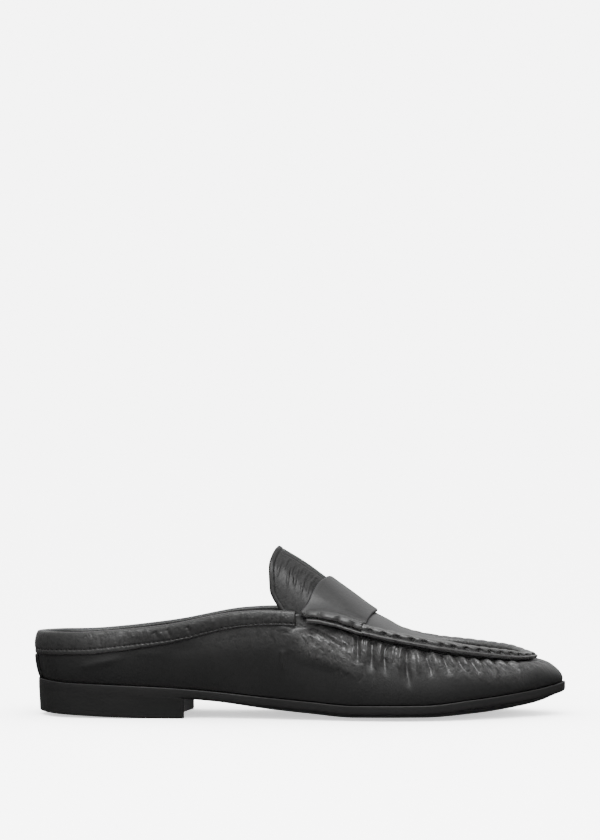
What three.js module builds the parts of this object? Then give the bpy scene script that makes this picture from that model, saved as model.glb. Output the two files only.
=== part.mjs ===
import * as THREE from 'three';
import { mergeVertices } from 'three/addons/utils/BufferGeometryUtils.js';

// A right loafer mule in black leather, standing empty on its sole.
// X runs from the heel to the toe, the outer side of the foot is at -Y, and Z is up.

// Driving sizes in millimetres
const soleLength = 268;
const ballWidth = 86.5;
const heelWidth = 58;
const soleThickness = 4.9;
const soleCrown = 2.8;
const toeSpring = 11.8;
const heelHeight = 13.8;
const heelBlockLength = 76.5;
const heelTaper = 0.6;
const heelRocker = 2.1;
const breastHollow = 3.5;
const insoleThickness = 2.2;
const featherInset = 1.6;
const upperWall = 2;
const backHeight = 41.5;
const instepHeight = 52.1;
const toeBoxHeight = 28.2;
const instepArch = 20;
const collarBandHeight = 10.6;
const collarBandThickness = 0.9;
const collarBandReach = 134;
const backStrapWidth = 15;
const backStrapThickness = 0.9;
const apronThickness = 1.8;
const seamWidth = 5.2;
const seamHeight = 4.6;
const seamFootWidth = 2.4;
const strapThickness = 1.6;
const strapEndThickness = 4;
const strapOverhang = 3;
const strapRearAtCrown = 148;
const strapBandGap = 0.5;
const strapRearAtRail = collarBandReach + strapBandGap;
const strapFrontAtCrown = 172.5;
const strapFrontAtRail = 167;
const tongueThickness = 2;
const tongueFrontAtCrown = 160;
const tongueFrontAtRail = 149;
const tongueEndGap = 1;
const tongueTuck = 5;
const clearance = 0.3;
const strapGap = 0.45;
const seamEndGap = 0.9;

// Sections of the last from the back of the heel to the toe. The lengths along are shares of the
// sole length. The lengths across are shares of the heel and ball widths, mixed by heelPart, and the
// heights are shares of the back, instep and toe box heights, mixed by heelPart and toePart. The
// swells are shares of the ball width: how far the wall stands out low down and near its top edge.
// topDip is how far below the top edge the upper swell sits, as a share of the wall. bandPart is a
// share of the collar band height, and steps is the number of facets to the next section.
const sections = [
  { along: 0, outer: 0, inner: 0, topAlong: 0.001, topOuter: 0, topInner: 0, outerHeight: 1,
    innerHeight: 1, heelPart: 1, toePart: 0, lowSwell: 0.034, topSwell: 0.019, topDip: 0.32,
    bandPart: 1, steps: 5 },
  { along: 0.037, outer: 0.353, inner: 0.353, topAlong: 0.032, topOuter: 0.302, topInner: 0.302,
    outerHeight: 1.007, innerHeight: 0.992, heelPart: 1, toePart: 0, lowSwell: 0.034,
    topSwell: 0.021, topDip: 0.32, bandPart: 1, steps: 4 },
  { along: 0.119, outer: 0.488, inner: 0.476, topAlong: 0.108, topOuter: 0.44, topInner: 0.422,
    outerHeight: 1.018, innerHeight: 0.993, heelPart: 1, toePart: 0, lowSwell: 0.029,
    topSwell: 0.021, topDip: 0.32, bandPart: 0.97, steps: 3 },
  { along: 0.261, outer: 0.509, inner: 0.457, topAlong: 0.254, topOuter: 0.483, topInner: 0.44,
    outerHeight: 1.105, innerHeight: 1.093, heelPart: 1, toePart: 0, lowSwell: 0.025,
    topSwell: 0.016, topDip: 0.3, bandPart: 0.84, steps: 3 },
  { along: 0.403, outer: 0.429, inner: 0.336, topAlong: 0.388, topOuter: 0.408, topInner: 0.367,
    outerHeight: 1.119, innerHeight: 1.102, heelPart: 0.5, toePart: 0, lowSwell: 0.017,
    topSwell: 0.009, topDip: 0.3, bandPart: 0.68, steps: 3 },
  { along: 0.522, outer: 0.428, inner: 0.335, topAlong: 0.507, topOuter: 0.358, topInner: 0.324,
    outerHeight: 1, innerHeight: 0.983, heelPart: 0, toePart: 0, lowSwell: 0.017, topSwell: 0.023,
    topDip: 0.28, bandPart: 0.64, steps: 4 },
  { along: 0.642, outer: 0.495, inner: 0.445, topAlong: 0.619, topOuter: 0.382, topInner: 0.364,
    outerHeight: 0.816, innerHeight: 0.812, heelPart: 0, toePart: 0, lowSwell: 0.023,
    topSwell: 0.046, topDip: 0.2, bandPart: 0.62, steps: 4 },
  { along: 0.757, outer: 0.474, inner: 0.503, topAlong: 0.731, topOuter: 0.364, topInner: 0.382,
    outerHeight: 0.885, innerHeight: 0.832, heelPart: 0, toePart: 0.5, lowSwell: 0.025,
    topSwell: 0.058, topDip: 0.16, bandPart: 0.6, steps: 3 },
  { along: 0.862, outer: 0.353, inner: 0.416, topAlong: 0.828, topOuter: 0.283, topInner: 0.335,
    outerHeight: 1.102, innerHeight: 1.088, heelPart: 0, toePart: 1, lowSwell: 0.025,
    topSwell: 0.078, topDip: 0.12, bandPart: 0.6, steps: 4 },
  { along: 0.948, outer: 0.179, inner: 0.26, topAlong: 0.904, topOuter: 0.133, topInner: 0.202,
    outerHeight: 1.01, innerHeight: 1.035, heelPart: 0, toePart: 1, lowSwell: 0.026,
    topSwell: 0.104, topDip: 0.055, bandPart: 0.6, steps: 3 },
  { along: 0.9855, outer: 0.086, inner: 0.156, topAlong: 0.9265, topOuter: 0.042, topInner: 0.112,
    outerHeight: 1.004, innerHeight: 1.014, heelPart: 0, toePart: 1, lowSwell: 0.026,
    topSwell: 0.113, topDip: 0.03, bandPart: 0.6, steps: 3 },
  { along: 1, outer: -0.035, inner: 0.035, topAlong: 0.935, topOuter: -0.035, topInner: 0.035,
    outerHeight: 1, innerHeight: 1, heelPart: 0, toePart: 1, lowSwell: 0.026, topSwell: 0.117,
    topDip: 0.02, bandPart: 0.6, steps: 0 },
];

// The underside of the outsole along its length: heelRise is a share of the heel height, toeRise a
// share of the toe spring and crown a share of the sole crown, which lifts the edges.
const soleProfile = [
  { along: 0, heelRise: 1, toeRise: 0, crown: 0 },
  { along: 0.07, heelRise: 0.908, toeRise: 0, crown: 0 },
  { along: 0.127, heelRise: 0.872, toeRise: 0, crown: 0 },
  { along: 0.276, heelRise: 0.735, toeRise: 0, crown: 0 },
  { along: 0.345, heelRise: 0.565, toeRise: 0, crown: 0.3 },
  { along: 0.43, heelRise: 0.315, toeRise: 0, crown: 0.7 },
  { along: 0.52, heelRise: 0.134, toeRise: 0, crown: 0.9 },
  { along: 0.605, heelRise: 0, toeRise: 0, crown: 1 },
  { along: 0.735, heelRise: 0, toeRise: 0, crown: 1.05 },
  { along: 0.83, heelRise: 0, toeRise: 0.145, crown: 1.28 },
  { along: 0.89, heelRise: 0, toeRise: 0.32, crown: 1.15 },
  { along: 0.945, heelRise: 0, toeRise: 0.56, crown: 0.83 },
  { along: 1, heelRise: 0, toeRise: 1, crown: 0 },
];

// Height of the middle of the instep and apron above the two top edges beside it, as a share of the
// instep arch, from the tongue to the toe
const archProfile = [
  { along: 0.42, arch: 1.98 },
  { along: 0.455, arch: 1.66 },
  { along: 0.504, arch: 1.31 },
  { along: 0.552, arch: 1 },
  { along: 0.597, arch: 0.77 },
  { along: 0.642, arch: 0.52 },
  { along: 0.664, arch: 0.45 },
  { along: 0.687, arch: 0.36 },
  { along: 0.71, arch: 0.31 },
  { along: 0.757, arch: 0.25 },
  { along: 0.806, arch: 0.17 },
  { along: 0.866, arch: 0.12 },
  { along: 0.91, arch: 0.06 },
  { along: 0.935, arch: 0 },
];

// The free end of the tongue: across is a share of its half width, along of the sole length
const tongueEnd = [
  { across: 0, along: 0.457 },
  { across: 0.12, along: 0.4565 },
  { across: 0.3, along: 0.4525 },
  { across: 0.62, along: 0.4425 },
  { across: 0.8, along: 0.4505 },
  { across: 0.92, along: 0.47 },
  { across: 1, along: 0.498 },
];

// Shares that shape the surfaces between the rows
const flatSolePart = 0.4;
const lowSwellHeight = 0.3;
const archFullness = 2.4;
const edgeSweep = 1.4;
const rockerPart = 0.8;
const rockerFade = 1.3;

// Facets across each kind of piece
const wallFacets = 5;
const bandFacets = 3;
const bandInsideFacets = 2;
const soleAcross = [-1, -0.82, -0.62, -flatSolePart, 0, flatSolePart, 0.62, 0.82, 1];
const archAcross = [-1, -0.93, -0.82, -0.64, -0.42, -0.2, 0, 0.2, 0.42, 0.64, 0.82, 0.93, 1];
const strapFacets = 6;
const tongueFacets = 7;
const seamAcross = [-1, -0.6, 0, 0.6, 1];

// The least part of a section that a facet beside the end of a piece may have
const leastFacet = 0.1;

const up = new THREE.Vector3(0, 0, 1);
const lastSection = sections.length - 1;
const { lerp, clamp } = THREE.MathUtils;

// A value between the rows of a table, eased so that it never overshoots a row
function tableValue(table, place, column, at) {
  const last = table.length - 1;
  const position = clamp(at, table[0][place], table[last][place]);
  let k = 0;
  while (k < last - 1 && position > table[k + 1][place]) k += 1;
  const slope = (i) => (table[i + 1][column] - table[i][column]) / (table[i + 1][place] - table[i][place]);
  const tangent = (i) => {
    if (i === 0) return slope(0);
    if (i === last) return slope(last - 1);
    const before = slope(i - 1);
    const after = slope(i);
    return before * after > 0 ? (2 * before * after) / (before + after) : 0;
  };
  const run = table[k + 1][place] - table[k][place];
  const t = (position - table[k][place]) / run;
  const rise = table[k + 1][column] - table[k][column];
  const start = tangent(k) * run;
  const end = tangent(k + 1) * run;
  return table[k][column] + start * t
    + (3 * rise - 2 * start - end) * t * t
    + (start + end - 2 * rise) * t * t * t;
}

// A closed curve through one point for each section: back, outer side, toe, inner side. Along it,
// 0 is the back of the heel and 0.5 the toe.
function ringCurve(pointAt) {
  const outerSide = sections.map((row) => pointAt(row, -1));
  const innerSide = sections.slice(1, -1).reverse().map((row) => pointAt(row, 1));
  return new THREE.CatmullRomCurve3([...outerSide, ...innerSide], true, 'centripetal');
}

function widthAt(row) {
  return lerp(ballWidth, heelWidth, row.heelPart);
}

function heightAt(row) {
  const middlePart = 1 - row.heelPart - row.toePart;
  return backHeight * row.heelPart + instepHeight * middlePart + toeBoxHeight * row.toePart;
}

const outlineRing = ringCurve((row, side) => new THREE.Vector3(
  row.along * soleLength,
  side * (side < 0 ? row.outer : row.inner) * widthAt(row),
  0,
));

const topRing = ringCurve((row, side) => new THREE.Vector3(
  row.topAlong * soleLength,
  side * (side < 0 ? row.topOuter : row.topInner) * widthAt(row),
  (side < 0 ? row.outerHeight : row.innerHeight) * heightAt(row),
));

const swellRing = ringCurve((row) => new THREE.Vector3(
  row.lowSwell * ballWidth,
  row.topSwell * ballWidth,
  row.topDip,
));

const bandRing = ringCurve((row) => new THREE.Vector3(row.bandPart * collarBandHeight, 0, 0));

function ringPoint(ring, around) {
  return ring.getPoint(((around % 1) + 1) % 1);
}

function outwardOf(ring, around) {
  const step = 1e-4;
  const along = ringPoint(ring, around + step).sub(ringPoint(ring, around - step));
  return new THREE.Vector3(along.y, -along.x, 0).normalize();
}

// Place around the shoe of a section number, on the outer (-1) or inner (1) side
function aroundOf(station, side) {
  const share = station / lastSection / 2;
  return side < 0 ? share : 1 - share;
}

// Section numbers of all the facets from the heel to the toe
const stations = sections.flatMap((row, k) => (
  Array.from({ length: row.steps }, (_, i) => k + i / row.steps)
)).concat(lastSection);

// Section number at which the middle of a ring lies a given length from the heel
function stationAt(ring, along) {
  let low = 0;
  let high = lastSection;
  const halvings = 40;
  for (let i = 0; i < halvings; i += 1) {
    const middle = (low + high) / 2;
    const outer = ringPoint(ring, aroundOf(middle, -1)).x;
    const inner = ringPoint(ring, aroundOf(middle, 1)).x;
    if ((outer + inner) / 2 < along) low = middle;
    else high = middle;
  }
  return (low + high) / 2;
}

// Height of the outsole's underside, across from -1 at the outer edge to 1 at the inner edge
function soleUnderside(along, across) {
  const share = along / soleLength;
  const edge = Math.max(0, (Math.abs(across) - flatSolePart) / (1 - flatSolePart));
  return tableValue(soleProfile, 'along', 'heelRise', share) * heelHeight
    + tableValue(soleProfile, 'along', 'toeRise', share) * toeSpring
    + tableValue(soleProfile, 'along', 'crown', share) * soleCrown * edge * edge;
}

// A point of the sole's outline moved in by a length
function outlinePoint(around, inset) {
  return ringPoint(outlineRing, around).addScaledVector(outwardOf(outlineRing, around), -inset);
}

// A point inside the sole's plan, on the line between the outer and the inner side at a section
function planPoint(station, across, inset) {
  const outer = outlinePoint(aroundOf(station, -1), inset);
  const inner = outlinePoint(aroundOf(station, 1), inset);
  return outer.lerp(inner, (across + 1) / 2);
}

function featherPoint(around) {
  const point = outlinePoint(around, featherInset);
  point.z = soleUnderside(point.x, 1) + soleThickness + clearance;
  return point;
}

// The outer face of the upper: around the shoe, and up from the feather line (0) to the top edge (1)
function wallFace(around, height) {
  const foot = featherPoint(around);
  const top = ringPoint(topRing, around);
  const swell = ringPoint(swellRing, around);
  const rise = top.z - foot.z;
  const low = foot.clone().addScaledVector(outwardOf(outlineRing, around), swell.x)
    .addScaledVector(up, rise * lowSwellHeight);
  const high = top.clone().addScaledVector(outwardOf(topRing, around), swell.y)
    .addScaledVector(up, -rise * swell.z);
  return new THREE.CubicBezierCurve3(foot, low, high, top).getPoint(height);
}

// Unit normal of a surface given as a function of two values
function surfaceNormal(surface, a, b, stepA, stepB) {
  const alongA = surface(a + stepA, b).sub(surface(a - stepA, b));
  const alongB = surface(a, b + stepB).sub(surface(a, b - stepB));
  return alongA.cross(alongB).normalize();
}

function wallNormal(around, height) {
  const stepAround = 1e-4;
  const stepUp = 1e-3;
  return surfaceNormal(wallFace, around, height, stepAround, stepUp);
}

// A point at a distance outside the face of the upper
function wallPoint(around, height, out) {
  return wallFace(around, height).addScaledVector(wallNormal(around, height), out);
}

// Direction in which the wall runs on past its top edge
function wallRise(around) {
  const step = 1e-3;
  return wallFace(around, 1).sub(wallFace(around, 1 - step)).normalize();
}

// A point near the top edge: raised along the wall, and out from its face
function rimPoint(around, raise, out) {
  return wallPoint(around, 1, out).addScaledVector(wallRise(around), raise);
}

function wallHeight(around) {
  return wallFace(around, 1).distanceTo(wallFace(around, 0));
}

// Share of the wall at which a length below the top edge lies
function shareBelowRim(around, length) {
  return 1 - length / wallHeight(around);
}

function bandFoot(around) {
  return shareBelowRim(around, ringPoint(bandRing, around).x);
}

// A closed solid from rows of point pairs, one on each face of a sheet
function sheetSolid(rows, closesRound) {
  const positions = [];
  const quad = (a, b, c, d) => {
    [a, b, c, a, c, d].forEach((point) => positions.push(point.x, point.y, point.z));
  };
  const rowCount = closesRound ? rows.length : rows.length - 1;
  const lastColumn = rows[0].length - 1;
  for (let i = 0; i < rowCount; i += 1) {
    const row = rows[i];
    const next = rows[(i + 1) % rows.length];
    for (let j = 0; j < lastColumn; j += 1) {
      quad(row[j].face, next[j].face, next[j + 1].face, row[j + 1].face);
      quad(row[j].back, row[j + 1].back, next[j + 1].back, next[j].back);
    }
    quad(row[0].face, row[0].back, next[0].back, next[0].face);
    quad(row[lastColumn].face, next[lastColumn].face, next[lastColumn].back, row[lastColumn].back);
  }
  if (!closesRound) {
    const first = rows[0];
    const last = rows[rows.length - 1];
    for (let j = 0; j < lastColumn; j += 1) {
      quad(first[j].face, first[j + 1].face, first[j + 1].back, first[j].back);
      quad(last[j].face, last[j].back, last[j + 1].back, last[j + 1].face);
    }
  }
  const loose = new THREE.BufferGeometry();
  loose.setAttribute('position', new THREE.Float32BufferAttribute(positions, 3));
  return withoutSlivers(mergeVertices(loose, 1e-3));
}

// The same geometry without triangles that have shrunk to a line, and with its faces pointing out
function withoutSlivers(geometry) {
  const index = geometry.getIndex().array;
  const position = geometry.getAttribute('position');
  const kept = [];
  let volume = 0;
  const corner = (i) => new THREE.Vector3().fromBufferAttribute(position, i);
  for (let i = 0; i < index.length; i += 3) {
    const [a, b, c] = [index[i], index[i + 1], index[i + 2]];
    if (a === b || b === c || c === a) continue;
    kept.push(a, b, c);
    volume += corner(a).dot(corner(b).cross(corner(c)));
  }
  geometry.setIndex(volume < 0 ? kept.reverse() : kept);
  geometry.computeVertexNormals();
  return geometry;
}

const shoe = new THREE.Group();

function addPiece(name, geometry, color, roughness) {
  const material = new THREE.MeshStandardMaterial({ color, roughness, metalness: 0 });
  const piece = new THREE.Mesh(geometry, material);
  piece.name = name;
  shoe.add(piece);
}

// Outsole: one leather layer, flat under the ball, with its edges lifted and its toe sprung
function outsoleRow(station) {
  return soleAcross.map((across) => {
    const back = planPoint(station, across, 0);
    back.z = soleUnderside(back.x, across);
    return { face: back.clone().addScaledVector(up, soleThickness), back };
  });
}

addPiece('outsole', sheetSolid(stations.map(outsoleRow), false), 0x211f1f, 0.55);

// Heel: a block under the seat of the outsole, tapered down, with a hollow breast
const breastStation = stationAt(outlineRing, heelBlockLength);
const heelStations = stations.filter((station) => station < breastStation - leastFacet)
  .concat(breastStation);

function heelRow(station) {
  const breastPart = (station / breastStation) ** 4;
  return soleAcross.map((across) => {
    const hollow = breastHollow * breastPart * (1 - across * across);
    const face = planPoint(station, across, 0);
    face.x -= hollow;
    face.z = soleUnderside(face.x, across) - clearance;
    const back = planPoint(station, across, heelTaper);
    back.x -= hollow;
    const behindFlat = Math.max(0, 1 - back.x / (heelBlockLength * rockerPart));
    back.z = heelRocker * behindFlat ** rockerFade;
    return { face, back };
  });
}

addPiece('heel', sheetSolid(heelStations.map(heelRow), false), 0x1c1b1b, 0.5);

// Insole: the board and its sock, inside the upper
const insoleInset = featherInset + upperWall + clearance * 2;

function widthOfPlan(station, inset) {
  return planPoint(station, -1, inset).distanceTo(planPoint(station, 1, inset));
}

function insoleRow(station) {
  const narrowing = widthOfPlan(station, insoleInset) / Math.max(widthOfPlan(station, 0), clearance);
  return soleAcross.map((across) => {
    const back = planPoint(station, across, insoleInset);
    back.z = soleUnderside(back.x, across * narrowing) + soleThickness + clearance;
    return { face: back.clone().addScaledVector(up, insoleThickness), back };
  });
}

addPiece('insole', sheetSolid(stations.map(insoleRow), false), 0x2a2624, 0.7);

// Upper: vamp and quarters as one hollow wall from the feather line to the collar and the apron seam
function wallShares(around) {
  const foot = bandFoot(around);
  const lower = Array.from({ length: wallFacets }, (_, i) => (foot * i) / wallFacets);
  const upper = Array.from({ length: bandFacets + 1 }, (_, i) => lerp(foot, 1, i / bandFacets));
  return [...lower, ...upper];
}

function upperRow(around) {
  return wallShares(around).map((height) => ({
    face: wallPoint(around, height, 0),
    back: wallPoint(around, height, -upperWall),
  }));
}

const aroundShoe = [
  ...stations.map((station) => aroundOf(station, -1)),
  ...stations.slice(1, -1).reverse().map((station) => aroundOf(station, 1)),
];

addPiece('upper', sheetSolid(aroundShoe.map(upperRow), true), 0x1b1a1a, 0.35);

// Collar band: folded over the rim of the back, from one end of the strap to the other
const bandStation = stationAt(topRing, collarBandReach);
const bandStations = stations.filter((station) => station < bandStation - leastFacet)
  .concat(bandStation);
const aroundBack = [
  ...bandStations.slice(1).reverse().map((station) => aroundOf(station, 1) - 1),
  ...bandStations.map((station) => aroundOf(station, -1)),
];

function bandRow(around) {
  const foot = bandFoot(around);
  const outside = Array.from({ length: bandFacets + 1 }, (_, i) => lerp(foot, 1, i / bandFacets));
  const inside = outside.slice(-1 - bandInsideFacets).reverse();
  const far = clearance + collarBandThickness;
  const rounding = 0.7;
  return [
    ...outside.map((height) => ({
      face: wallPoint(around, height, far),
      back: wallPoint(around, height, clearance),
    })),
    {
      face: rimPoint(around, far * rounding, far * rounding),
      back: rimPoint(around, clearance, clearance),
    },
    {
      face: rimPoint(around, far, -upperWall / 2),
      back: rimPoint(around, clearance, -upperWall / 2),
    },
    {
      face: rimPoint(around, far * rounding, -upperWall - far * rounding),
      back: rimPoint(around, clearance, -upperWall - clearance),
    },
    ...inside.map((height) => ({
      face: wallPoint(around, height, -upperWall - far),
      back: wallPoint(around, height, -upperWall - clearance),
    })),
  ];
}

addPiece('collar_band', sheetSolid(aroundBack.map(bandRow), false), 0x1d1c1c, 0.32);

// Back strap: a narrow strip up the back seam, from the feather line to the band
const backStrapSides = [-1, -0.5, 0, 0.5, 1];
const backStrapFoot = 0.04;

function backStrapRow(side) {
  const firstFacet = ringPoint(outlineRing, 0).distanceTo(ringPoint(outlineRing, aroundOf(1, -1)));
  const around = aroundOf((side * backStrapWidth) / 2 / firstFacet, -1);
  const top = shareBelowRim(around, collarBandHeight + clearance);
  return Array.from({ length: wallFacets + 1 }, (_, i) => {
    const height = lerp(backStrapFoot, top, i / wallFacets);
    return {
      face: wallPoint(around, height, clearance + backStrapThickness),
      back: wallPoint(around, height, clearance),
    };
  });
}

addPiece('back_strap', sheetSolid(backStrapSides.map(backStrapRow), false), 0x1b1a1a, 0.35);

// The instep: an arch between two rails, its middle set by the arch profile
function topMiddle(station) {
  return ringPoint(topRing, aroundOf(station, -1))
    .lerp(ringPoint(topRing, aroundOf(station, 1)), 0.5);
}

function archHeight(station) {
  return tableValue(archProfile, 'along', 'arch', topMiddle(station).x / soleLength) * instepArch;
}

function archFace(railPoint, liftOver) {
  return (station, across) => {
    const outer = railPoint(station, -1);
    const inner = railPoint(station, 1);
    const lift = liftOver(station, (outer.z + inner.z) / 2);
    return outer.lerp(inner, (across + 1) / 2)
      .addScaledVector(up, lift * (1 - Math.abs(across) ** archFullness));
  };
}

// Length from the heel of a piece's edge, which sweeps from its place at the crown to the rail
function sweptEdge(atCrown, atRail, across) {
  return lerp(atCrown, atRail, Math.abs(across) ** edgeSweep);
}

function archNormal(surface, station, across) {
  const beforeTip = 0.02;
  const step = 0.01;
  const inside = clamp(station, 0, lastSection - beforeTip);
  return surfaceNormal(surface, inside, across, step, step);
}

// Apron: the plug, edge to edge with the top of the wall, from under the strap to the toe
function apronRail(station, side) {
  return rimPoint(aroundOf(station, side), clearance, 0);
}

const apronFace = archFace(apronRail, archHeight);
const apronRearStations = archAcross.map((across) => (
  stationAt(topRing, sweptEdge(tongueFrontAtCrown, tongueFrontAtRail, across) + clearance)
));
const apronEnd = stations.filter((station) => station > Math.max(...apronRearStations) + leastFacet);
const apronSteps = [0, 0.5, 1];

function apronPair(station, across) {
  const onEdge = Math.abs(across) === 1 || station === lastSection;
  const normal = onEdge
    ? wallNormal(aroundOf(station, Math.sign(across) || 1), 1)
    : archNormal(apronFace, station, across);
  const face = apronFace(station, across);
  return { face, back: face.clone().addScaledVector(normal, -apronThickness) };
}

const apronRows = [
  ...apronSteps.map((step) => archAcross.map((across, j) => (
    apronPair(lerp(apronRearStations[j], apronEnd[0], step), across)
  ))),
  ...apronEnd.slice(1).map((station) => archAcross.map((across) => apronPair(station, across))),
];

addPiece('apron', sheetSolid(apronRows, false), 0x1c1b1b, 0.35);

// Tongue: from under the strap up to its free end, tucked inside the collar at its sides
const tongueInset = upperWall + collarBandThickness + clearance * 3;

function tongueRail(station, side) {
  const around = aroundOf(station, side);
  return wallPoint(around, shareBelowRim(around, tongueTuck), -tongueInset);
}

const tongueFace = archFace(tongueRail, (station, railHeight) => (
  topMiddle(station).z + archHeight(station) - railHeight
));
const tongueSteps = Array.from({ length: tongueFacets + 1 }, (_, i) => i / tongueFacets);

const tongueRows = tongueSteps.map((step) => archAcross.map((across) => {
  const rear = tableValue(tongueEnd, 'across', 'along', Math.abs(across)) * soleLength;
  const front = sweptEdge(tongueFrontAtCrown, tongueFrontAtRail, across) - tongueEndGap;
  const station = stationAt(topRing, lerp(rear, front, step));
  const face = tongueFace(station, across);
  const normal = archNormal(tongueFace, station, across);
  return { face, back: face.clone().addScaledVector(normal, -tongueThickness) };
}));

addPiece('tongue', sheetSolid(tongueRows, false), 0x1d1c1c, 0.4);

// Saddle strap: across the instep, its thick ends standing out over the top edge of the vamp
const strapSteps = Array.from({ length: strapFacets + 1 }, (_, i) => i / strapFacets);

function strapStation(step, across) {
  const rear = sweptEdge(strapRearAtCrown, strapRearAtRail, across);
  const front = sweptEdge(strapFrontAtCrown, strapFrontAtRail, across);
  return stationAt(topRing, lerp(rear, front, step));
}

function strapEnd(step, side, out) {
  const around = aroundOf(strapStation(step, 1), side);
  const back = ringPoint(topRing, around)
    .addScaledVector(outwardOf(topRing, around), out)
    .addScaledVector(up, clearance * 2);
  return { face: back.clone().addScaledVector(up, strapEndThickness), back };
}

const strapRows = strapSteps.map((step) => [
  strapEnd(step, -1, strapOverhang),
  strapEnd(step, -1, 0),
  ...archAcross.slice(1, -1).map((across) => {
    const station = strapStation(step, across);
    const base = apronFace(station, across);
    const normal = archNormal(apronFace, station, across);
    return {
      face: base.clone().addScaledVector(normal, strapGap + strapThickness),
      back: base.clone().addScaledVector(normal, strapGap),
    };
  }),
  strapEnd(step, 1, 0),
  strapEnd(step, 1, strapOverhang),
]);

addPiece('saddle_strap', sheetSolid(strapRows, false), 0x232222, 0.3);

// Apron seam: the raised hand sewn seam over the joint, from one end of the strap round the toe
const seamStart = stationAt(topRing, strapFrontAtRail + seamEndGap);
const seamStations = [seamStart, ...stations.filter((station) => station > seamStart + leastFacet)];
const aroundSeam = [
  ...seamStations.map((station) => aroundOf(station, -1)),
  ...seamStations.slice(0, -1).reverse().map((station) => aroundOf(station, 1)),
];

const lastWideStation = lastSection - 0.5;
const besideSeam = 0.95;

function seamRow(around) {
  const station = Math.min(around, 1 - around) * 2 * lastSection;
  const side = around <= 0.5 ? -1 : 1;
  const apronNormal = archNormal(apronFace, Math.min(station, lastWideStation), side * besideSeam);
  const normal = wallNormal(around, 1).add(apronNormal).normalize();
  const foot = rimPoint(around, clearance / 2, 0).addScaledVector(normal, clearance);
  const step = 1e-4;
  const tangent = ringPoint(topRing, around + step).sub(ringPoint(topRing, around - step)).normalize();
  const outward = tangent.clone().cross(normal).normalize();
  const point = (across, height) => foot.clone()
    .addScaledVector(outward, across).addScaledVector(normal, height);
  const shoulder = 0.35;
  return seamAcross.map((across) => ({
    face: point((across * seamWidth) / 2, seamHeight * lerp(shoulder, 1, 1 - across * across)),
    back: point((across * seamFootWidth) / 2, 0),
  }));
}

addPiece('apron_seam', sheetSolid(aroundSeam.map(seamRow), false), 0x1b1a1a, 0.35);

// The origin is on the floor under the middle of the shoe
const reach = new THREE.Box3().setFromObject(shoe, true);
const middle = reach.getCenter(new THREE.Vector3());
shoe.position.set(-middle.x, -middle.y, -reach.min.z);

export default shoe;
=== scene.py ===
import math

import bmesh
import bpy
import numpy as np
from mathutils import Matrix, Vector


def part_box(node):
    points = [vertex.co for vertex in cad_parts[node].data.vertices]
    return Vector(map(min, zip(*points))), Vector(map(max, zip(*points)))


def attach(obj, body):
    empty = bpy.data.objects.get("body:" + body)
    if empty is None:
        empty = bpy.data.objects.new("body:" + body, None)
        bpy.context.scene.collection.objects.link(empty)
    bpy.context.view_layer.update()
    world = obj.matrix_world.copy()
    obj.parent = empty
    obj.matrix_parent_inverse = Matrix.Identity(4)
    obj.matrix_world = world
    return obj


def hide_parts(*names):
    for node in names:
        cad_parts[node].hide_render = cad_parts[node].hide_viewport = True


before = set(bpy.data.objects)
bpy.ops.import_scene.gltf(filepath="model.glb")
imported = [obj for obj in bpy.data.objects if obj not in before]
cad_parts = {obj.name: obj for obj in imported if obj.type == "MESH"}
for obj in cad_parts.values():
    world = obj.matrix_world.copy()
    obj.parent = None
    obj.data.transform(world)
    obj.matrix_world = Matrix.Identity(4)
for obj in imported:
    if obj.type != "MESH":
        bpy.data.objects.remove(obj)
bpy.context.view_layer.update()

# The studio: a pale floor running out to a pale surround, and a camera low on the outer side of the
# shoe. The surround and the floor are not mirrored in the leather. What the leather mirrors is the
# sky of the studio, bright overhead and behind, and dim on the camera's side.
shoe_middle = Vector((0.0010, -0.0002, 0.035))
camera_distance = 1.5
camera_azimuth = math.radians(3.457)
camera_elevation = math.radians(4.118)
camera_roll = math.radians(-0.202)
pixels_per_metre = 1967.01
picture_height = 840
shoe_below_centre = 225.3
shoe_right_of_centre = 0.77

toward_camera = Vector((
    math.sin(camera_azimuth) * math.cos(camera_elevation),
    -math.cos(camera_azimuth) * math.cos(camera_elevation),
    math.sin(camera_elevation),
))
level_right = Vector((math.cos(camera_azimuth), math.sin(camera_azimuth), 0))
level_up = toward_camera.cross(level_right)
picture_right = level_right * math.cos(camera_roll) + level_up * math.sin(camera_roll)
picture_up = level_up * math.cos(camera_roll) - level_right * math.sin(camera_roll)

# The camera looks a little above and left of the shoe, so that the shoe stands low in the picture
look_up = math.atan2(shoe_below_centre, pixels_per_metre * camera_distance)
look_left = math.atan2(shoe_right_of_centre, pixels_per_metre * camera_distance)
turn = Matrix.Rotation(look_up, 3, picture_right) @ Matrix.Rotation(look_left, 3, picture_up)
camera_data = bpy.data.cameras.new("camera")
camera_data.sensor_width = 36
camera_data.lens = (pixels_per_metre * camera_distance * math.cos(look_up)
                    * camera_data.sensor_width / picture_height)
camera_data.clip_start = 0.01
camera_data.clip_end = 100
camera = bpy.data.objects.new("camera", camera_data)
axes = Matrix((turn @ picture_right, turn @ picture_up, turn @ toward_camera)).transposed()
camera.matrix_world = (Matrix.Translation(shoe_middle + toward_camera * camera_distance)
                       @ axes.to_4x4())
bpy.context.collection.objects.link(camera)
bpy.context.scene.camera = camera


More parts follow.
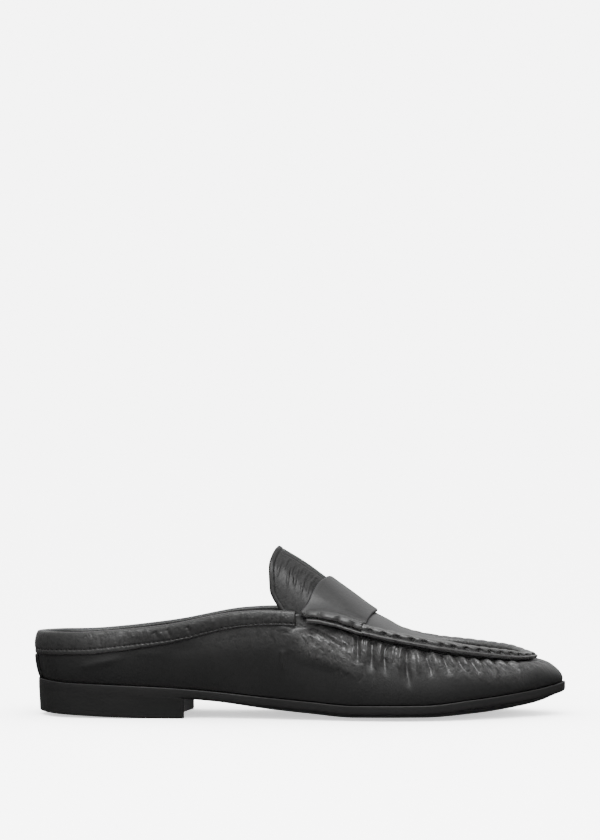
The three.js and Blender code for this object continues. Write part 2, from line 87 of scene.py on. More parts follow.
class Value:
    """A number that changes over a surface. Sums and products of it add Math nodes."""

    def __init__(self, nodes, socket):
        self.nodes = nodes
        self.socket = socket

    def math(self, operation, first, second=0.0):
        return self.nodes.node("ShaderNodeMath", {"operation": operation}, {0: first, 1: second})

    def __add__(self, other):
        return self.math("ADD", self, other)

    __radd__ = __add__

    def __sub__(self, other):
        return self.math("SUBTRACT", self, other)

    def __rsub__(self, other):
        return self.math("SUBTRACT", other, self)

    def __mul__(self, other):
        return self.math("MULTIPLY", self, other)

    __rmul__ = __mul__

    def __abs__(self):
        return self.math("ABSOLUTE", self)

    def __pow__(self, other):
        return self.math("POWER", self, other)


class Nodes:
    """The nodes of a finish or of the sky."""

    def __init__(self, tree):
        self.tree = tree

    def put(self, socket, value):
        if isinstance(value, Value):
            self.tree.links.new(value.socket, socket)
        else:
            socket.default_value = value

    def node(self, kind, settings, inputs, output=0):
        made = self.tree.nodes.new(kind)
        for key, value in settings.items():
            setattr(made, key, value)
        for key, value in inputs.items():
            self.put(made.inputs[key], value)
        return Value(self, made.outputs[output])


class Finish(Nodes):
    """A material with one Principled surface, and the nodes behind it."""

    def __init__(self, name, sockets):
        self.material = bpy.data.materials.new(name)
        self.material.use_nodes = True
        super().__init__(self.material.node_tree)
        self.surface = self.tree.nodes["Principled BSDF"]
        for key, value in sockets.items():
            self.set(key, value)

    def set(self, socket, value):
        self.put(self.surface.inputs[socket], value)

    def coordinates(self, stretch=(1, 1, 1)):
        plain = self.node("ShaderNodeTexCoord", {}, {}, "Object")
        return self.node("ShaderNodeMapping", {}, {"Vector": plain, "Scale": stretch})

    def lay(self, stretch):
        kept = self.node("ShaderNodeAttribute", {"attribute_name": "lay"}, {}, "Vector")
        return self.node("ShaderNodeMapping", {}, {"Vector": kept, "Scale": stretch})

    def mark(self, name):
        return self.node("ShaderNodeAttribute", {"attribute_name": name}, {}, "Fac")

    def noise(self, vector, scale, detail=2.0, roughness=0.5, distortion=0.0):
        return self.node("ShaderNodeTexNoise", {}, {
            "Vector": vector, "Scale": scale, "Detail": detail, "Roughness": roughness,
            "Distortion": distortion,
        })

    def cells(self, vector, scale):
        return self.node("ShaderNodeTexVoronoi", {"feature": "F1"},
                         {"Vector": vector, "Scale": scale}, "Distance")

    def blend(self, share, first, second):
        return self.node("ShaderNodeMix", {"data_type": "RGBA"},
                         {"Factor": share, "A": first, "B": second}, "Result")

    def relief(self, height, distance):
        self.set("Normal", self.node("ShaderNodeBump", {}, {
            "Height": height, "Distance": distance, "Strength": 1.0,
        }))


surround_light = 6.5
floor_shading = 0.88
floor_size = 40
surround_radius = 15

floor_shape, surround_shape = bmesh.new(), bmesh.new()
bmesh.ops.create_grid(floor_shape, x_segments=1, y_segments=1, size=floor_size / 2)
bmesh.ops.create_uvsphere(surround_shape, u_segments=48, v_segments=24, radius=surround_radius)
bmesh.ops.reverse_faces(surround_shape, faces=surround_shape.faces)
for name, shape, shading, glow in (
        ("floor", floor_shape, floor_shading, surround_light * (1 - floor_shading)),
        ("surround", surround_shape, 0, surround_light)):
    stage_mesh = bpy.data.meshes.new(name)
    shape.to_mesh(stage_mesh)
    shape.free()
    stage_finish = Finish("pale_" + name, {
        "Base Color": (shading,) * 3 + (1,), "Roughness": 1.0, "Specular IOR Level": 0.0,
        "Emission Color": (1, 1, 1, 1), "Emission Strength": glow,
    })
    stage_mesh.materials.append(stage_finish.material)
    stage_piece = bpy.data.objects.new(name, stage_mesh)
    bpy.context.collection.objects.link(stage_piece)
    stage_piece.visible_glossy = False
    stage_piece.visible_shadow = name == "floor"

world = bpy.data.worlds.new("studio")
bpy.context.scene.world = world
world.use_nodes = True
sky = Nodes(world.node_tree)
sky_direction = sky.node("ShaderNodeTexCoord", {}, {}, "Generated")
sky_height = sky.node("ShaderNodeSeparateXYZ", {}, {0: sky_direction}, "Z")
sky_share = sky.node("ShaderNodeMapRange", {}, {"Value": sky_height, "From Min": -1}, "Result")
sky_gradient = sky.node("ShaderNodeValToRGB", {}, {"Fac": sky_share}, "Color")
sky_slant = sky.node("ShaderNodeVectorMath", {"operation": "DOT_PRODUCT"},
                     {0: sky_direction, 1: (0, 0.8, 0.6)}, "Value")
sky_behind = sky.node("ShaderNodeMapRange", {"interpolation_type": "SMOOTHSTEP"},
                      {"Value": sky_slant, "From Min": 0.5, "To Max": 0.6}, "Result")
sky.put(sky.tree.nodes["Background"].inputs["Color"], sky_behind + sky_gradient)
# Height of each stop, from straight down to straight up, and how bright the sky is there
sky_stops = [(0.0, 0.05), (0.5, 0.08), (0.6, 0.16), (0.72, 0.5), (0.85, 0.9), (1.0, 0.85)]
ramp_stops = sky_gradient.socket.node.color_ramp.elements
for sky_stop in sky_stops[1:-1]:
    ramp_stops.new(sky_stop[0])
for ramp_stop, (height, glow) in zip(ramp_stops, sky_stops):
    ramp_stop.position = height
    ramp_stop.color = (glow, glow, glow, 1)

# Name, place of the light's middle, width, length, power in watts
softboxes = [
    ("overhead_softbox", (0.1, -0.1, 1.2), 1.0, 0.4, 3.0),
    ("front_softbox", (0.15, -0.68, 1.0), 0.9, 0.22, 12.0),
]
for name, place, width, length, power in softboxes:
    light_data = bpy.data.lights.new(name, "AREA")
    light_data.shape = "RECTANGLE"
    light_data.size = width
    light_data.size_y = length
    light_data.energy = power
    light = bpy.data.objects.new(name, light_data)
    light.location = place
    light.rotation_mode = "QUATERNION"
    light.rotation_quaternion = (Vector(place) - shoe_middle).to_track_quat("Z", "Y")
    bpy.context.collection.objects.link(light)

# Outsole: one layer of sole leather, cut to the outline of the last, its edge rounded, stained black
# and burnished. It is flat under the ball, lifts at the waist and springs up at the toe.
sole_length = 268.0
ball_width = 86.5
heel_width = 58.0
sole_thickness = 4.9
sole_crown = 2.8
toe_spring = 11.8
heel_height = 13.8
flat_sole_part = 0.4
back_height = 41.5
instep_height = 52.1
toe_box_height = 28.2

# The last, one row for each section from the heel to the toe, in shares of the sizes above
last_columns = ("along", "outer", "inner", "top_along", "top_outer", "top_inner", "outer_height",
                "inner_height", "heel_part", "toe_part", "low_swell", "top_swell", "top_dip",
                "band_part")
last_rows = [
    (0, 0, 0, .001, 0, 0, 1, 1, 1, 0, .034, .019, .32, 1),
    (.037, .353, .353, .032, .302, .302, 1.007, .992, 1, 0, .034, .021, .32, 1),
    (.119, .488, .476, .108, .44, .422, 1.018, .993, 1, 0, .029, .021, .32, .97),
    (.261, .509, .457, .254, .483, .44, 1.105, 1.093, 1, 0, .025, .016, .3, .84),
    (.403, .429, .336, .388, .408, .367, 1.119, 1.102, .5, 0, .017, .009, .3, .68),
    (.522, .428, .335, .507, .358, .324, 1, .983, 0, 0, .017, .023, .28, .64),
    (.642, .495, .445, .619, .382, .364, .816, .812, 0, 0, .023, .046, .2, .62),
    (.757, .474, .503, .731, .364, .382, .885, .832, 0, .5, .025, .058, .16, .6),
    (.862, .353, .416, .828, .283, .335, 1.102, 1.088, 0, 1, .025, .078, .12, .6),
    (.948, .179, .26, .904, .133, .202, 1.01, 1.035, 0, 1, .026, .104, .055, .6),
    (.9855, .086, .156, .9265, .042, .112, 1.004, 1.014, 0, 1, .026, .113, .03, .6),
    (1, -.035, .035, .935, -.035, .035, 1, 1, 0, 1, .026, .117, .02, .6),
]
last = dict(zip(last_columns, np.array(last_rows, float).T))
last_section = len(last_rows) - 1

# Underside of the sole: share along, rise at the heel, rise at the toe, lift of the edges
underside_rows = [
    (0, 1, 0, 0), (.07, .908, 0, 0), (.127, .872, 0, 0), (.276, .735, 0, 0), (.345, .565, 0, .3),
    (.43, .315, 0, .7), (.52, .134, 0, .9), (.605, 0, 0, 1), (.735, 0, 0, 1.05),
    (.83, 0, .145, 1.28), (.89, 0, .32, 1.15), (.945, 0, .56, .83), (1, 0, 1, 0),
]
under_along, under_heel, under_toe, under_crown = np.array(underside_rows, float).T


def cubic(start, end, leave, arrive, t):
    """The smooth way from start to end, by how it leaves and how it arrives."""
    return (start + leave * t + (3 * end - 3 * start - 2 * leave - arrive) * t ** 2
            + (2 * start - 2 * end + leave + arrive) * t ** 3)


def closed_curve(points):
    """A smooth closed curve through points, as a function of the share around it."""
    before, here, after, beyond = (np.roll(points, n, axis=0) for n in (1, 0, -1, -2))

    def knot(start, end):
        return (np.sum((end - start) ** 2, axis=1) ** 0.25)[:, None]

    middle = np.where(knot(here, after) < 1e-4, 1, knot(here, after))
    first = np.where(knot(before, here) < 1e-4, middle, knot(before, here))
    final = np.where(knot(after, beyond) < 1e-4, middle, knot(after, beyond))
    step = (after - here) / middle
    leave = ((here - before) / first - (after - before) / (first + middle) + step) * middle
    arrive = (step - (beyond - here) / (middle + final) + (beyond - after) / final) * middle

    def at(around):
        place = np.mod(around, 1) * len(points)
        k = np.minimum(place.astype(int), len(points) - 1)
        t = (place - k)[..., None]
        return cubic(here[k], after[k], leave[k], arrive[k], t)

    return at


def eased(places, values, at):
    """A value between the rows of a table, never beyond a row."""
    slope = np.diff(values) / np.diff(places)
    both = slope[:-1] + slope[1:]
    same_way = slope[:-1] * slope[1:] > 0
    inner = np.where(same_way, 2 * slope[:-1] * slope[1:] / np.where(same_way, both, 1), 0)
    tangent = np.concatenate([slope[:1], inner, slope[-1:]])
    at = np.clip(at, places[0], places[-1])
    k = np.clip(np.searchsorted(places, at) - 1, 0, len(places) - 2)
    run = places[k + 1] - places[k]
    return cubic(values[k], values[k + 1], tangent[k] * run, tangent[k + 1] * run,
                 (at - places[k]) / run)


def last_ring(outer_columns, inner_columns):
    outer = np.stack(outer_columns, axis=1)
    inner = np.stack(inner_columns, axis=1)
    return closed_curve(np.concatenate([outer, inner[1:-1][::-1]]))


straight_up = np.array([0, 0, 1.0])
section_width = ball_width + (heel_width - ball_width) * last["heel_part"]
no_height = np.zeros(len(last_rows))
outline = last_ring(
    (last["along"] * sole_length, -last["outer"] * section_width, no_height),
    (last["along"] * sole_length, last["inner"] * section_width, no_height),
)


def unit(vectors):
    return vectors / np.maximum(np.linalg.norm(vectors, axis=-1, keepdims=True), 1e-9)


def outward_of(ring, around):
    step = 1e-4
    along = ring(around + step) - ring(around - step)
    return unit(np.stack([along[..., 1], -along[..., 0], np.zeros(around.shape)], axis=-1))


def around_of(station, side):
    share = station / last_section / 2
    return np.where(side < 0, share, 1 - share)


def underside(along, across):
    share = along / sole_length
    edge = np.maximum(0, (np.abs(across) - flat_sole_part) / (1 - flat_sole_part))
    return (eased(under_along, under_heel, share) * heel_height
            + eased(under_along, under_toe, share) * toe_spring
            + eased(under_along, under_crown, share) * sole_crown * edge ** 2)


def soft_step(x):
    x = np.clip(x, 0, 1)
    return x * x * (3 - 2 * x)


# The source of the part centres the shoe, so its places are moved over by the same amounts
fine_around = np.linspace(0, 1, 2201)
outline_reach = outline(fine_around)
sole_low, sole_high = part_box("outsole")
to_origin = np.array([
    sole_low[0] * 1000 - outline_reach[:, 0].min(),
    (sole_low[1] + sole_high[1]) * 500 - (outline_reach[:, 1].min() + outline_reach[:, 1].max()) / 2,
    0,
])


def shown(shape, mesh):
    """The object of a finished mesh, smooth all over."""
    for face in shape.faces:
        face.smooth = True
    shape.to_mesh(mesh)
    shape.free()
    piece = bpy.data.objects.new(mesh.name, mesh)
    bpy.context.collection.objects.link(piece)
    return piece


def leather_piece(name, grids, marks=None):
    """One closed mesh from grids of points in shoe millimetres, their shared edges welded."""
    shape = bmesh.new()
    for grid in grids:
        bmesh.ops.create_grid(shape, x_segments=grid.shape[0] - 1, y_segments=grid.shape[1] - 1,
                              size=0.5)
    mesh = bpy.data.meshes.new(name)
    shape.to_mesh(mesh)
    flat = np.empty(len(mesh.vertices) * 3)
    mesh.vertices.foreach_get("co", flat)
    places = flat.reshape(-1, 3)[:, :2] + 0.5
    marks = marks or {}
    kept = {key: [] for key in marks}
    points = []
    start = 0
    for number, grid in enumerate(grids):
        count = grid.shape[0] * grid.shape[1]
        own = places[start:start + count]
        i = np.rint(own[:, 0] * (grid.shape[0] - 1)).astype(int)
        j = np.rint(own[:, 1] * (grid.shape[1] - 1)).astype(int)
        points.append(grid[i, j])
        for key, values in marks.items():
            kept[key].append(values[number][i, j])
        start += count
    points = (np.concatenate(points) + to_origin) / 1000
    mesh.vertices.foreach_set("co", points.astype(np.float32).ravel())
    for key, values in kept.items():
        values = np.concatenate(values)
        vector = values.ndim == 2
        layer = mesh.attributes.new(key, "FLOAT_VECTOR" if vector else "FLOAT", "POINT")
        layer.data.foreach_set("vector" if vector else "value", values.astype(np.float32).ravel())
    shape.free()
    welded = bmesh.new()
    welded.from_mesh(mesh)
    bmesh.ops.remove_doubles(welded, verts=welded.verts, dist=2e-6)
    bmesh.ops.dissolve_degenerate(welded, edges=welded.edges, dist=1e-7)
    bmesh.ops.recalc_face_normals(welded, faces=welded.faces)
    return shown(welded, mesh)


def finished(piece, finish, slot, *nodes):
    piece.data.materials.append(finish.material)
    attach(piece, "root")
    if nodes:
        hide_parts(*nodes)


def toward_spine(around, share, inset, ends=(12, 252)):
    """A point on the way from the outline, moved in by a length, to the middle line of the sole."""
    edge = outline(around) - outward_of(outline, around) * inset[..., None]
    other = outline(1 - around)
    spine = (outline(around) + other) / 2
    spine[..., 0] = np.clip(spine[..., 0], *ends)
    return edge + (spine - edge) * share[..., None]


sole_top_round = 0.5
sole_foot_round = 1.5
flush_round = 0.02
sole_around = np.linspace(0, 1, 561)
round_steps = np.linspace(0, math.pi / 2, 6)
# Rows across the sole from the middle of its top, over its edge, to the middle of its underside:
# share of the way to the middle, share of the edge's round in from the outline, share of the
# thickness, share of the round down from the face
sole_rows = [(share, 1, 1, 0) for share in (1, 0.7, 0.4, 0.18, 0.06)]
sole_rows += [(0, 1 - math.sin(step), 1, 1 - math.cos(step)) for step in round_steps]
sole_rows += [(0, 0, 0.5, 0)]
sole_rows += [(0, 1 - math.sin(step), 0, 1 - math.cos(step)) for step in round_steps[::-1]]
sole_rows += [(share, 1, 0, 0) for share in (0.06, 0.18, 0.4, 0.7, 1)]
sole_row = np.array(sole_rows)
sole_a, sole_r = np.meshgrid(sole_around, np.arange(len(sole_rows)), indexing="ij")
share_in, inset_part, top_part, drop_part = (sole_row[sole_r][..., n] for n in range(4))
over_heel = soft_step((outline(sole_a)[..., 0] - 71) / 8)
foot_round = flush_round + (sole_foot_round - flush_round) * over_heel
own_round = np.where(top_part > 0.5, sole_top_round, foot_round)
sole_points = toward_spine(sole_a, share_in, inset_part * own_round)
sole_points[..., 2] = (underside(sole_points[..., 0], 1 - share_in) + top_part * sole_thickness
                       + np.sign(0.5 - top_part) * drop_part * own_round)
outsole = leather_piece("outsole_leather", [sole_points])


def cut_leather(name, specular, stretch, scale, wear_scale, dark, light, roughness):
    """Cut sole leather stained black: its fibres lie along the cut, and it wears in patches."""
    finish = Finish(name, {"Specular IOR Level": specular})
    fibres = finish.noise(finish.coordinates(stretch), scale, 4.0, 0.6)
    wear = finish.noise(finish.coordinates(), wear_scale, 3.0)
    finish.set("Base Color", finish.blend(wear, (*dark, 1), (*light, 1)))
    finish.set("Roughness", roughness + fibres * 0.2)
    return finish, fibres


edge_finish, edge_fibres = cut_leather("burnished_sole", 0.45, (30, 30, 420), 9.0, 60.0,
                                       (0.0012, 0.0012, 0.0012), (0.0024, 0.0023, 0.0023), 0.4)
edge_grain = edge_finish.noise(edge_finish.coordinates(), 900.0, 3.0)
edge_finish.relief(edge_fibres * 0.6 + edge_grain * 0.4, 0.00008)
finished(outsole, edge_finish, "sole_leather", "outsole")

# Heel: a low block of leather lifts, stacked, ground flush with the sole and stained black. Its back
# is worn round, and its breast is hollowed.
heel_block_length = 77.4
heel_taper = 0.6
heel_rocker = 2.1
rocker_part = 0.8
rocker_fade = 1.3
breast_hollow = 3.5
heel_foot_round = 0.6
heel_corner_round = 0.8
heel_loop_step = 0.5
flush_overlap = 0.1

side_outer = fine_around[fine_around <= 0.5]
middle_line = (outline(side_outer)[:, 0] + outline(1 - side_outer)[:, 0]) / 2
breast_around = np.interp(heel_block_length, middle_line, side_outer)


def heel_loop(inset):
    """The heel's outline at one height, in even steps, with its two corners rounded."""
    sides = np.linspace(breast_around, -breast_around, 400)
    wall = outline(sides) - outward_of(outline, sides) * inset
    cross = np.linspace(-1, 1, 120)[:, None]
    breast = wall[-1] * (1 - cross) / 2 + wall[0] * (1 + cross) / 2
    breast[:, 0] -= breast_hollow * (1 - cross[:, 0] ** 2)
    closed = np.concatenate([wall[:-1], breast])
    length = np.concatenate([[0], np.cumsum(np.linalg.norm(np.diff(closed, axis=0), axis=1))])
    even = np.linspace(0, length[-1], 441)
    loop = np.stack([np.interp(even, length, closed[:, n]) for n in range(3)], axis=1)[:-1]
    reach = int(3 * heel_corner_round / heel_loop_step)
    offsets = np.arange(-reach, reach + 1)
    weights = np.exp(-0.5 * (offsets * heel_loop_step / heel_corner_round) ** 2)
    smooth = sum(w * np.roll(loop, n, axis=0) for w, n in zip(weights, offsets)) / weights.sum()
    return np.vstack([smooth, smooth[:1]])


heel_top_loop = heel_loop(0)
heel_foot_loop = heel_loop(heel_taper)
heel_middle = np.array([heel_block_length / 2, -1.0, 0])
# Rows down the block: share of the way down, inset, lift of the rounded foot, share to the middle
heel_rows = [(0, 0, 0, share) for share in (1, 0.5, 0.1, 0.004)]
heel_rows += [(down, 0, heel_foot_round * down, 0) for down in (0, 0.01, *np.linspace(0.1, 0.9, 9), 1)]
heel_rows += [(1, heel_foot_round * (1 - math.cos(step)), heel_foot_round * (1 - math.sin(step)), 0)
              for step in round_steps[1:]]
heel_rows += [(1, heel_foot_round, 0, share) for share in (0.1, 0.5, 1)]
heel_grid = []
for down, inset, lift, inward in heel_rows:
    loop = heel_top_loop * (1 - down) + heel_foot_loop * down
    behind_flat = np.maximum(0, 1 - loop[:, 0] / (heel_block_length * rocker_part))
    foot = heel_rocker * behind_flat ** rocker_fade
    top = underside(loop[:, 0], 1.0)
    loop = loop - unit(loop - heel_middle) * inset
    loop[:, 2] = (top + flush_overlap) * (1 - down) + foot * down + lift
    centre = heel_middle + straight_up * loop[:, 2].mean()
    heel_grid.append(loop + (centre - loop) * inward)
heel = leather_piece("heel_stack", [np.stack(heel_grid, axis=1)])

stack_finish, stack_fibres = cut_leather(
    "stacked_heel", 0.4, (40, 40, 500), 8.0, 45.0, (0.0014, 0.0014, 0.0014), (0.0026, 0.0026, 0.0025),
    0.38)
lift_height = 3.1
lift_share = stack_finish.node("ShaderNodeMath", {"operation": "FRACT"}, {
    0: stack_finish.node("ShaderNodeSeparateXYZ", {}, {
        "Vector": stack_finish.coordinates((1000 / lift_height,) * 3)}, "Z")})
stack_groove = (abs(lift_share - 0.5) * 2.0) ** 14.0
stack_finish.relief(stack_fibres * 0.5 - stack_groove * 0.5, 0.00006)
finished(heel, stack_finish, "heel_stack", "heel")

# Insole: the leather board inside the shoe, which the upper is lasted under, with a sock of smooth
# black lining leather glued on it.
insole_thickness = 2.2
feather_inset = 1.6
upper_wall = 2.0
clearance = 0.3
insole_inset = feather_inset + upper_wall + clearance * 2
insole_rows = np.array([(share, 1, 1) for share in (1, 0.7, 0.4, 0.18, 0.06)]
                       + [(0, 0.5, 1), (0, 0, 0.7), (0, 0, 0.1), (0, 0.5, 0)]
                       + [(share, 1, 0) for share in (0.06, 0.18, 0.4, 0.7, 1)])
insole_a, insole_r = np.meshgrid(np.linspace(0, 1, 281), np.arange(len(insole_rows)), indexing="ij")
insole_share, insole_round, insole_top = (insole_rows[insole_r][..., n] for n in range(3))
insole_points = toward_spine(insole_a, insole_share, insole_inset + insole_round * 0.6, (18, 246))
insole_points[..., 2] = (underside(insole_points[..., 0], 0.9 * (1 - insole_share))
                         + sole_thickness + clearance + insole_top * insole_thickness)
insole = leather_piece("insole_sock", [insole_points])

sock_finish = Finish("sock_leather", {"Specular IOR Level": 0.35})
sock_grain = sock_finish.cells(sock_finish.coordinates(), 1100.0)
sock_wear = sock_finish.noise(sock_finish.coordinates(), 35.0, 4.0)
sock_finish.set("Base Color", sock_finish.blend(
    sock_wear, (0.0046, 0.0043, 0.004, 1), (0.0075, 0.007, 0.0065, 1)))
sock_finish.set("Roughness", 0.5 + sock_wear * 0.2)
sock_finish.relief(sock_grain, 0.0001)
finished(insole, sock_finish, "lining_leather", "insole")

# Upper: vamp and quarters of thin glossy calf, pulled over the last and turned in at the insole.
# Below the apron seam the leather is gathered into it, so folds run down from each stitch.
low_swell_height = 0.3
collar_band_height = 10.6
section_height = (back_height * last["heel_part"] + toe_box_height * last["toe_part"]
                  + instep_height * (1 - last["heel_part"] - last["toe_part"]))
rim = last_ring(
    (last["top_along"] * sole_length, -last["top_outer"] * section_width,
     last["outer_height"] * section_height),
    (last["top_along"] * sole_length, last["top_inner"] * section_width,
     last["inner_height"] * section_height),
)
swell_columns = (last["low_swell"] * ball_width, last["top_swell"] * ball_width, last["top_dip"])
swell = last_ring(swell_columns, swell_columns)
band_columns = (last["band_part"] * collar_band_height, no_height, no_height)
band_depth = last_ring(band_columns, band_columns)


def wall_face(around, up):
    """The outer face of the upper, from the feather line (0) to the top edge (1)."""
    foot = outline(around) - outward_of(outline, around) * feather_inset
    foot[..., 2] = underside(foot[..., 0], 1.0) + sole_thickness + clearance
    top = rim(around)
    bulge = swell(around)
    rise = (top - foot)[..., 2]
    low = (foot + outward_of(outline, around) * bulge[..., :1]
           + straight_up * (rise * low_swell_height)[..., None])
    high = (top + outward_of(rim, around) * bulge[..., 1:2]
            - straight_up * (rise * bulge[..., 2])[..., None])
    t = up[..., None]
    return (foot * (1 - t) ** 3 + low * 3 * t * (1 - t) ** 2 + high * 3 * t ** 2 * (1 - t)
            + top * t ** 3)


def wall_normal(around, up):
    step_around, step_up = 1e-4, 1e-3
    along = wall_face(around + step_around, up) - wall_face(around - step_around, up)
    rising = wall_face(around, up + step_up) - wall_face(around, up - step_up)
    return unit(np.cross(along, rising))


def wall_rise(around):
    step = 1e-3
    top = np.ones(around.shape)
    return unit(wall_face(around, top) - wall_face(around, top - step))


def wall_height(around):
    return np.linalg.norm(wall_face(around, np.ones(around.shape))
                          - wall_face(around, np.zeros(around.shape)), axis=-1)


def wall_point(around, up, out):
    return wall_face(around, up) + wall_normal(around, up) * out[..., None]


# Length along the top edge from the heel, on the outer side and on the inner side
outer_around = np.linspace(0, 0.5, 1101)
outer_gaps = np.linalg.norm(np.diff(rim(outer_around), axis=0), axis=1)
inner_gaps = np.linalg.norm(np.diff(rim(1 - outer_around), axis=0), axis=1)
outer_arc = np.concatenate([[0], np.cumsum(outer_gaps)])
inner_arc = np.concatenate([[0], np.cumsum(inner_gaps)])
toe_arc = outer_arc[-1]


def arc_of(around):
    """Length along the top edge; both sides run from 0 at the heel to the same length at the toe."""
    share = np.mod(around, 1)
    outer = np.interp(share, outer_around, outer_arc)
    inner = np.interp(1 - share, outer_around, inner_arc) * (toe_arc / inner_arc[-1])
    return np.where(share <= 0.5, outer, inner)


def around_at(arc):
    """The place around the shoe at a length along the rim, negative on the inner side."""
    outer = np.interp(np.abs(arc), outer_arc, outer_around)
    inner = -np.interp(np.abs(arc) / toe_arc * inner_arc[-1], inner_arc, outer_around)
    return np.where(arc < 0, inner, outer)


def both_sides(arcs):
    """Places from a start on the outer side round the toe and back along the inner side."""
    return around_at(np.concatenate([arcs, -arcs[::-1][1:]]))


def laid(along, across, sheet):
    """Places on the flat leather that a piece is cut from, each piece from a part of its own."""
    return np.stack([along, across, np.broadcast_to(sheet, along.shape)], axis=-1)


def folds(rows, arc, below):
    """Height of all folds: from and to (arc, below), half width, rise, bow, in millimetres."""
    lift = np.zeros(arc.shape)
    for arc_0, below_0, arc_1, below_1, half_width, rise, bow in rows:
        run_arc, run_below = arc_1 - arc_0, below_1 - below_0
        length = math.hypot(run_arc, run_below)
        near = np.abs(arc - (arc_0 + arc_1) / 2) < abs(run_arc) / 2 + abs(bow) + half_width * 4
        s, t = arc[near] - arc_0, below[near] - below_0
        along = (s * run_arc + t * run_below) / length ** 2
        across = (s * run_below - t * run_arc) / length - bow * 4 * along * (1 - along)
        taper = soft_step(along / 0.2 + 0.35) * soft_step((1 - along) / 0.5)
        lift[near] += rise * np.exp(-(np.abs(across) / half_width) ** 1.7) * taper
    return lift


# Troughs pulled in by the stitches, then the ridges between them
gathers = [
    (180.0, 1, 176.9, 19, 1.3, -1.15, 0.6), (187.8, 1, 182.4, 21, 1.5, -1.25, 0.8),
    (195.7, 1, 190.3, 21, 1.4, -1.15, -0.9), (206.0, 1, 200.6, 25, 1.5, -1.45, -0.7),
    (213.4, 1, 213.0, 17, 1.3, -1.2, 0.9), (222.3, 1, 221.5, 15, 1.2, -1.2, 0.9),
    (228.9, 1, 229.4, 13, 1.1, -1.0, 0.8), (235.4, 1, 236.6, 13, 1.1, -1.1, 0.7),
    (241.8, 1, 243.6, 13, 1.0, -1.0, 0.6), (248.4, 1, 250.9, 11, 1.0, -0.9, 0.5),
    (255.3, 1, 257.9, 10, 1.0, -0.8, 0.4), (262.6, 1, 264.6, 9, 1.0, -0.6, 0.3),
    (269.5, 1, 270.9, 8, 1.0, -0.45, 0.2), (276.0, 1, 276.6, 8, 1.0, -0.4, 0.0),
    (177.6, 3, 174.6, 20, 0.8, 0.45, 0.3), (182.4, 2, 178.2, 18, 0.8, 0.6, 0.5),
    (184.9, 2, 181.0, 17, 0.7, 0.45, 0.4), (192.0, 2, 186.4, 18, 1.5, 0.75, 0.6),
    (199.2, 2, 194.6, 17, 0.7, 0.5, -0.6), (202.6, 2, 197.6, 20, 0.9, 0.7, -0.6),
    (209.4, 2, 207.0, 17, 1.4, 0.7, 0.9), (217.6, 2, 216.6, 14, 1.4, 0.7, 0.8),
    (225.6, 2, 225.3, 12, 0.9, 0.6, 0.7), (231.8, 2, 232.8, 12, 1.0, 0.65, 0.7),
    (238.4, 2, 240.0, 12, 0.9, 0.6, 0.6), (244.8, 2, 247.0, 11, 0.9, 0.6, 0.5),
    (251.6, 2, 254.2, 10, 0.9, 0.5, 0.4), (258.8, 2, 261.2, 9, 0.9, 0.45, 0.3),
]
# Short creases that lean off the ridges
small_creases = [
    (189.8, 6, 187.6, 15, 0.4, -0.3, 0.3), (193.6, 5, 189.2, 16, 0.4, -0.3, -0.3),
    (197.4, 9, 193.2, 16, 0.5, -0.35, 0.6), (203.6, 12, 200.0, 21, 0.4, 0.3, 0.3),
    (208.0, 6, 205.4, 18, 0.4, -0.3, 0.4), (211.2, 6, 209.6, 15, 0.4, 0.25, 0.4),
    (216.2, 5, 215.4, 13, 0.4, -0.3, 0.5), (219.6, 4, 219.2, 12, 0.4, 0.3, 0.5),
    (224.2, 4, 224.0, 11, 0.35, -0.25, 0.4), (233.4, 5, 234.6, 13, 0.35, -0.25, 0.5),
    (239.4, 7, 241.4, 15, 0.35, -0.3, 0.5), (246.2, 5, 248.6, 12, 0.35, -0.25, 0.4),
    (236.8, 10, 240.6, 18, 0.5, 0.3, 0.5), (229.6, 11, 232.4, 19, 0.5, 0.25, 0.5),
    (181.2, 16, 178.2, 24, 0.6, -0.3, 0.3), (186.0, 17, 182.6, 25, 0.6, -0.25, 0.3),
]
# The crumpled place under the end of the strap
crumple = [
    (152.5, 9, 158.5, 14, 1.0, 0.35, 0.7), (156.0, 9, 164.0, 15, 0.7, -0.32, 0.9),
    (154.0, 14, 163.0, 20, 0.8, -0.28, 1.0), (161.0, 8, 169.0, 13, 0.8, 0.36, 0.8),
    (163.5, 8, 172.0, 12, 0.6, -0.32, 0.6), (164.0, 15, 173.0, 20, 0.8, 0.3, 0.7),
    (166.0, 18, 176.0, 22, 0.9, -0.26, 0.5), (170.5, 5, 174.5, 16, 0.8, 0.35, -0.4),
    (138.5, 8.5, 146.5, 9.5, 1.2, 0.35, 0.6), (174.6, 4, 172.4, 17, 0.8, -0.6, 0.3),
]
# The small pinch in the quarter, and the soft swags under the band
quarter_creases = [
    (139.4, 19, 137.4, 30, 0.8, 0.55, 0.0), (141.0, 20, 139.4, 29, 0.8, -0.3, 0.0),
    (118.0, 9, 136.0, 13, 2.5, 0.25, 0.6), (84.0, 12, 100.0, 15, 2.5, -0.2, 0.5),
    (36.0, 16.5, 62.0, 13, 2.0, 0.55, 0.5), (66.0, 12, 84.0, 15, 1.8, 0.15, 0.5),
]
# Fine wrinkles that run forward and down from the tip of the seam over the toe
toe_wrinkles = [
    (arc, 1.5 + 0.8 * math.sin(arc * 5), arc + 1.2, 10 + 2.5 * math.sin(arc * 3), 0.34,
     0.13 + 0.05 * math.sin(arc * 7), 0.3)
    for arc in np.arange(256.5, 281.0, 1.35)
]
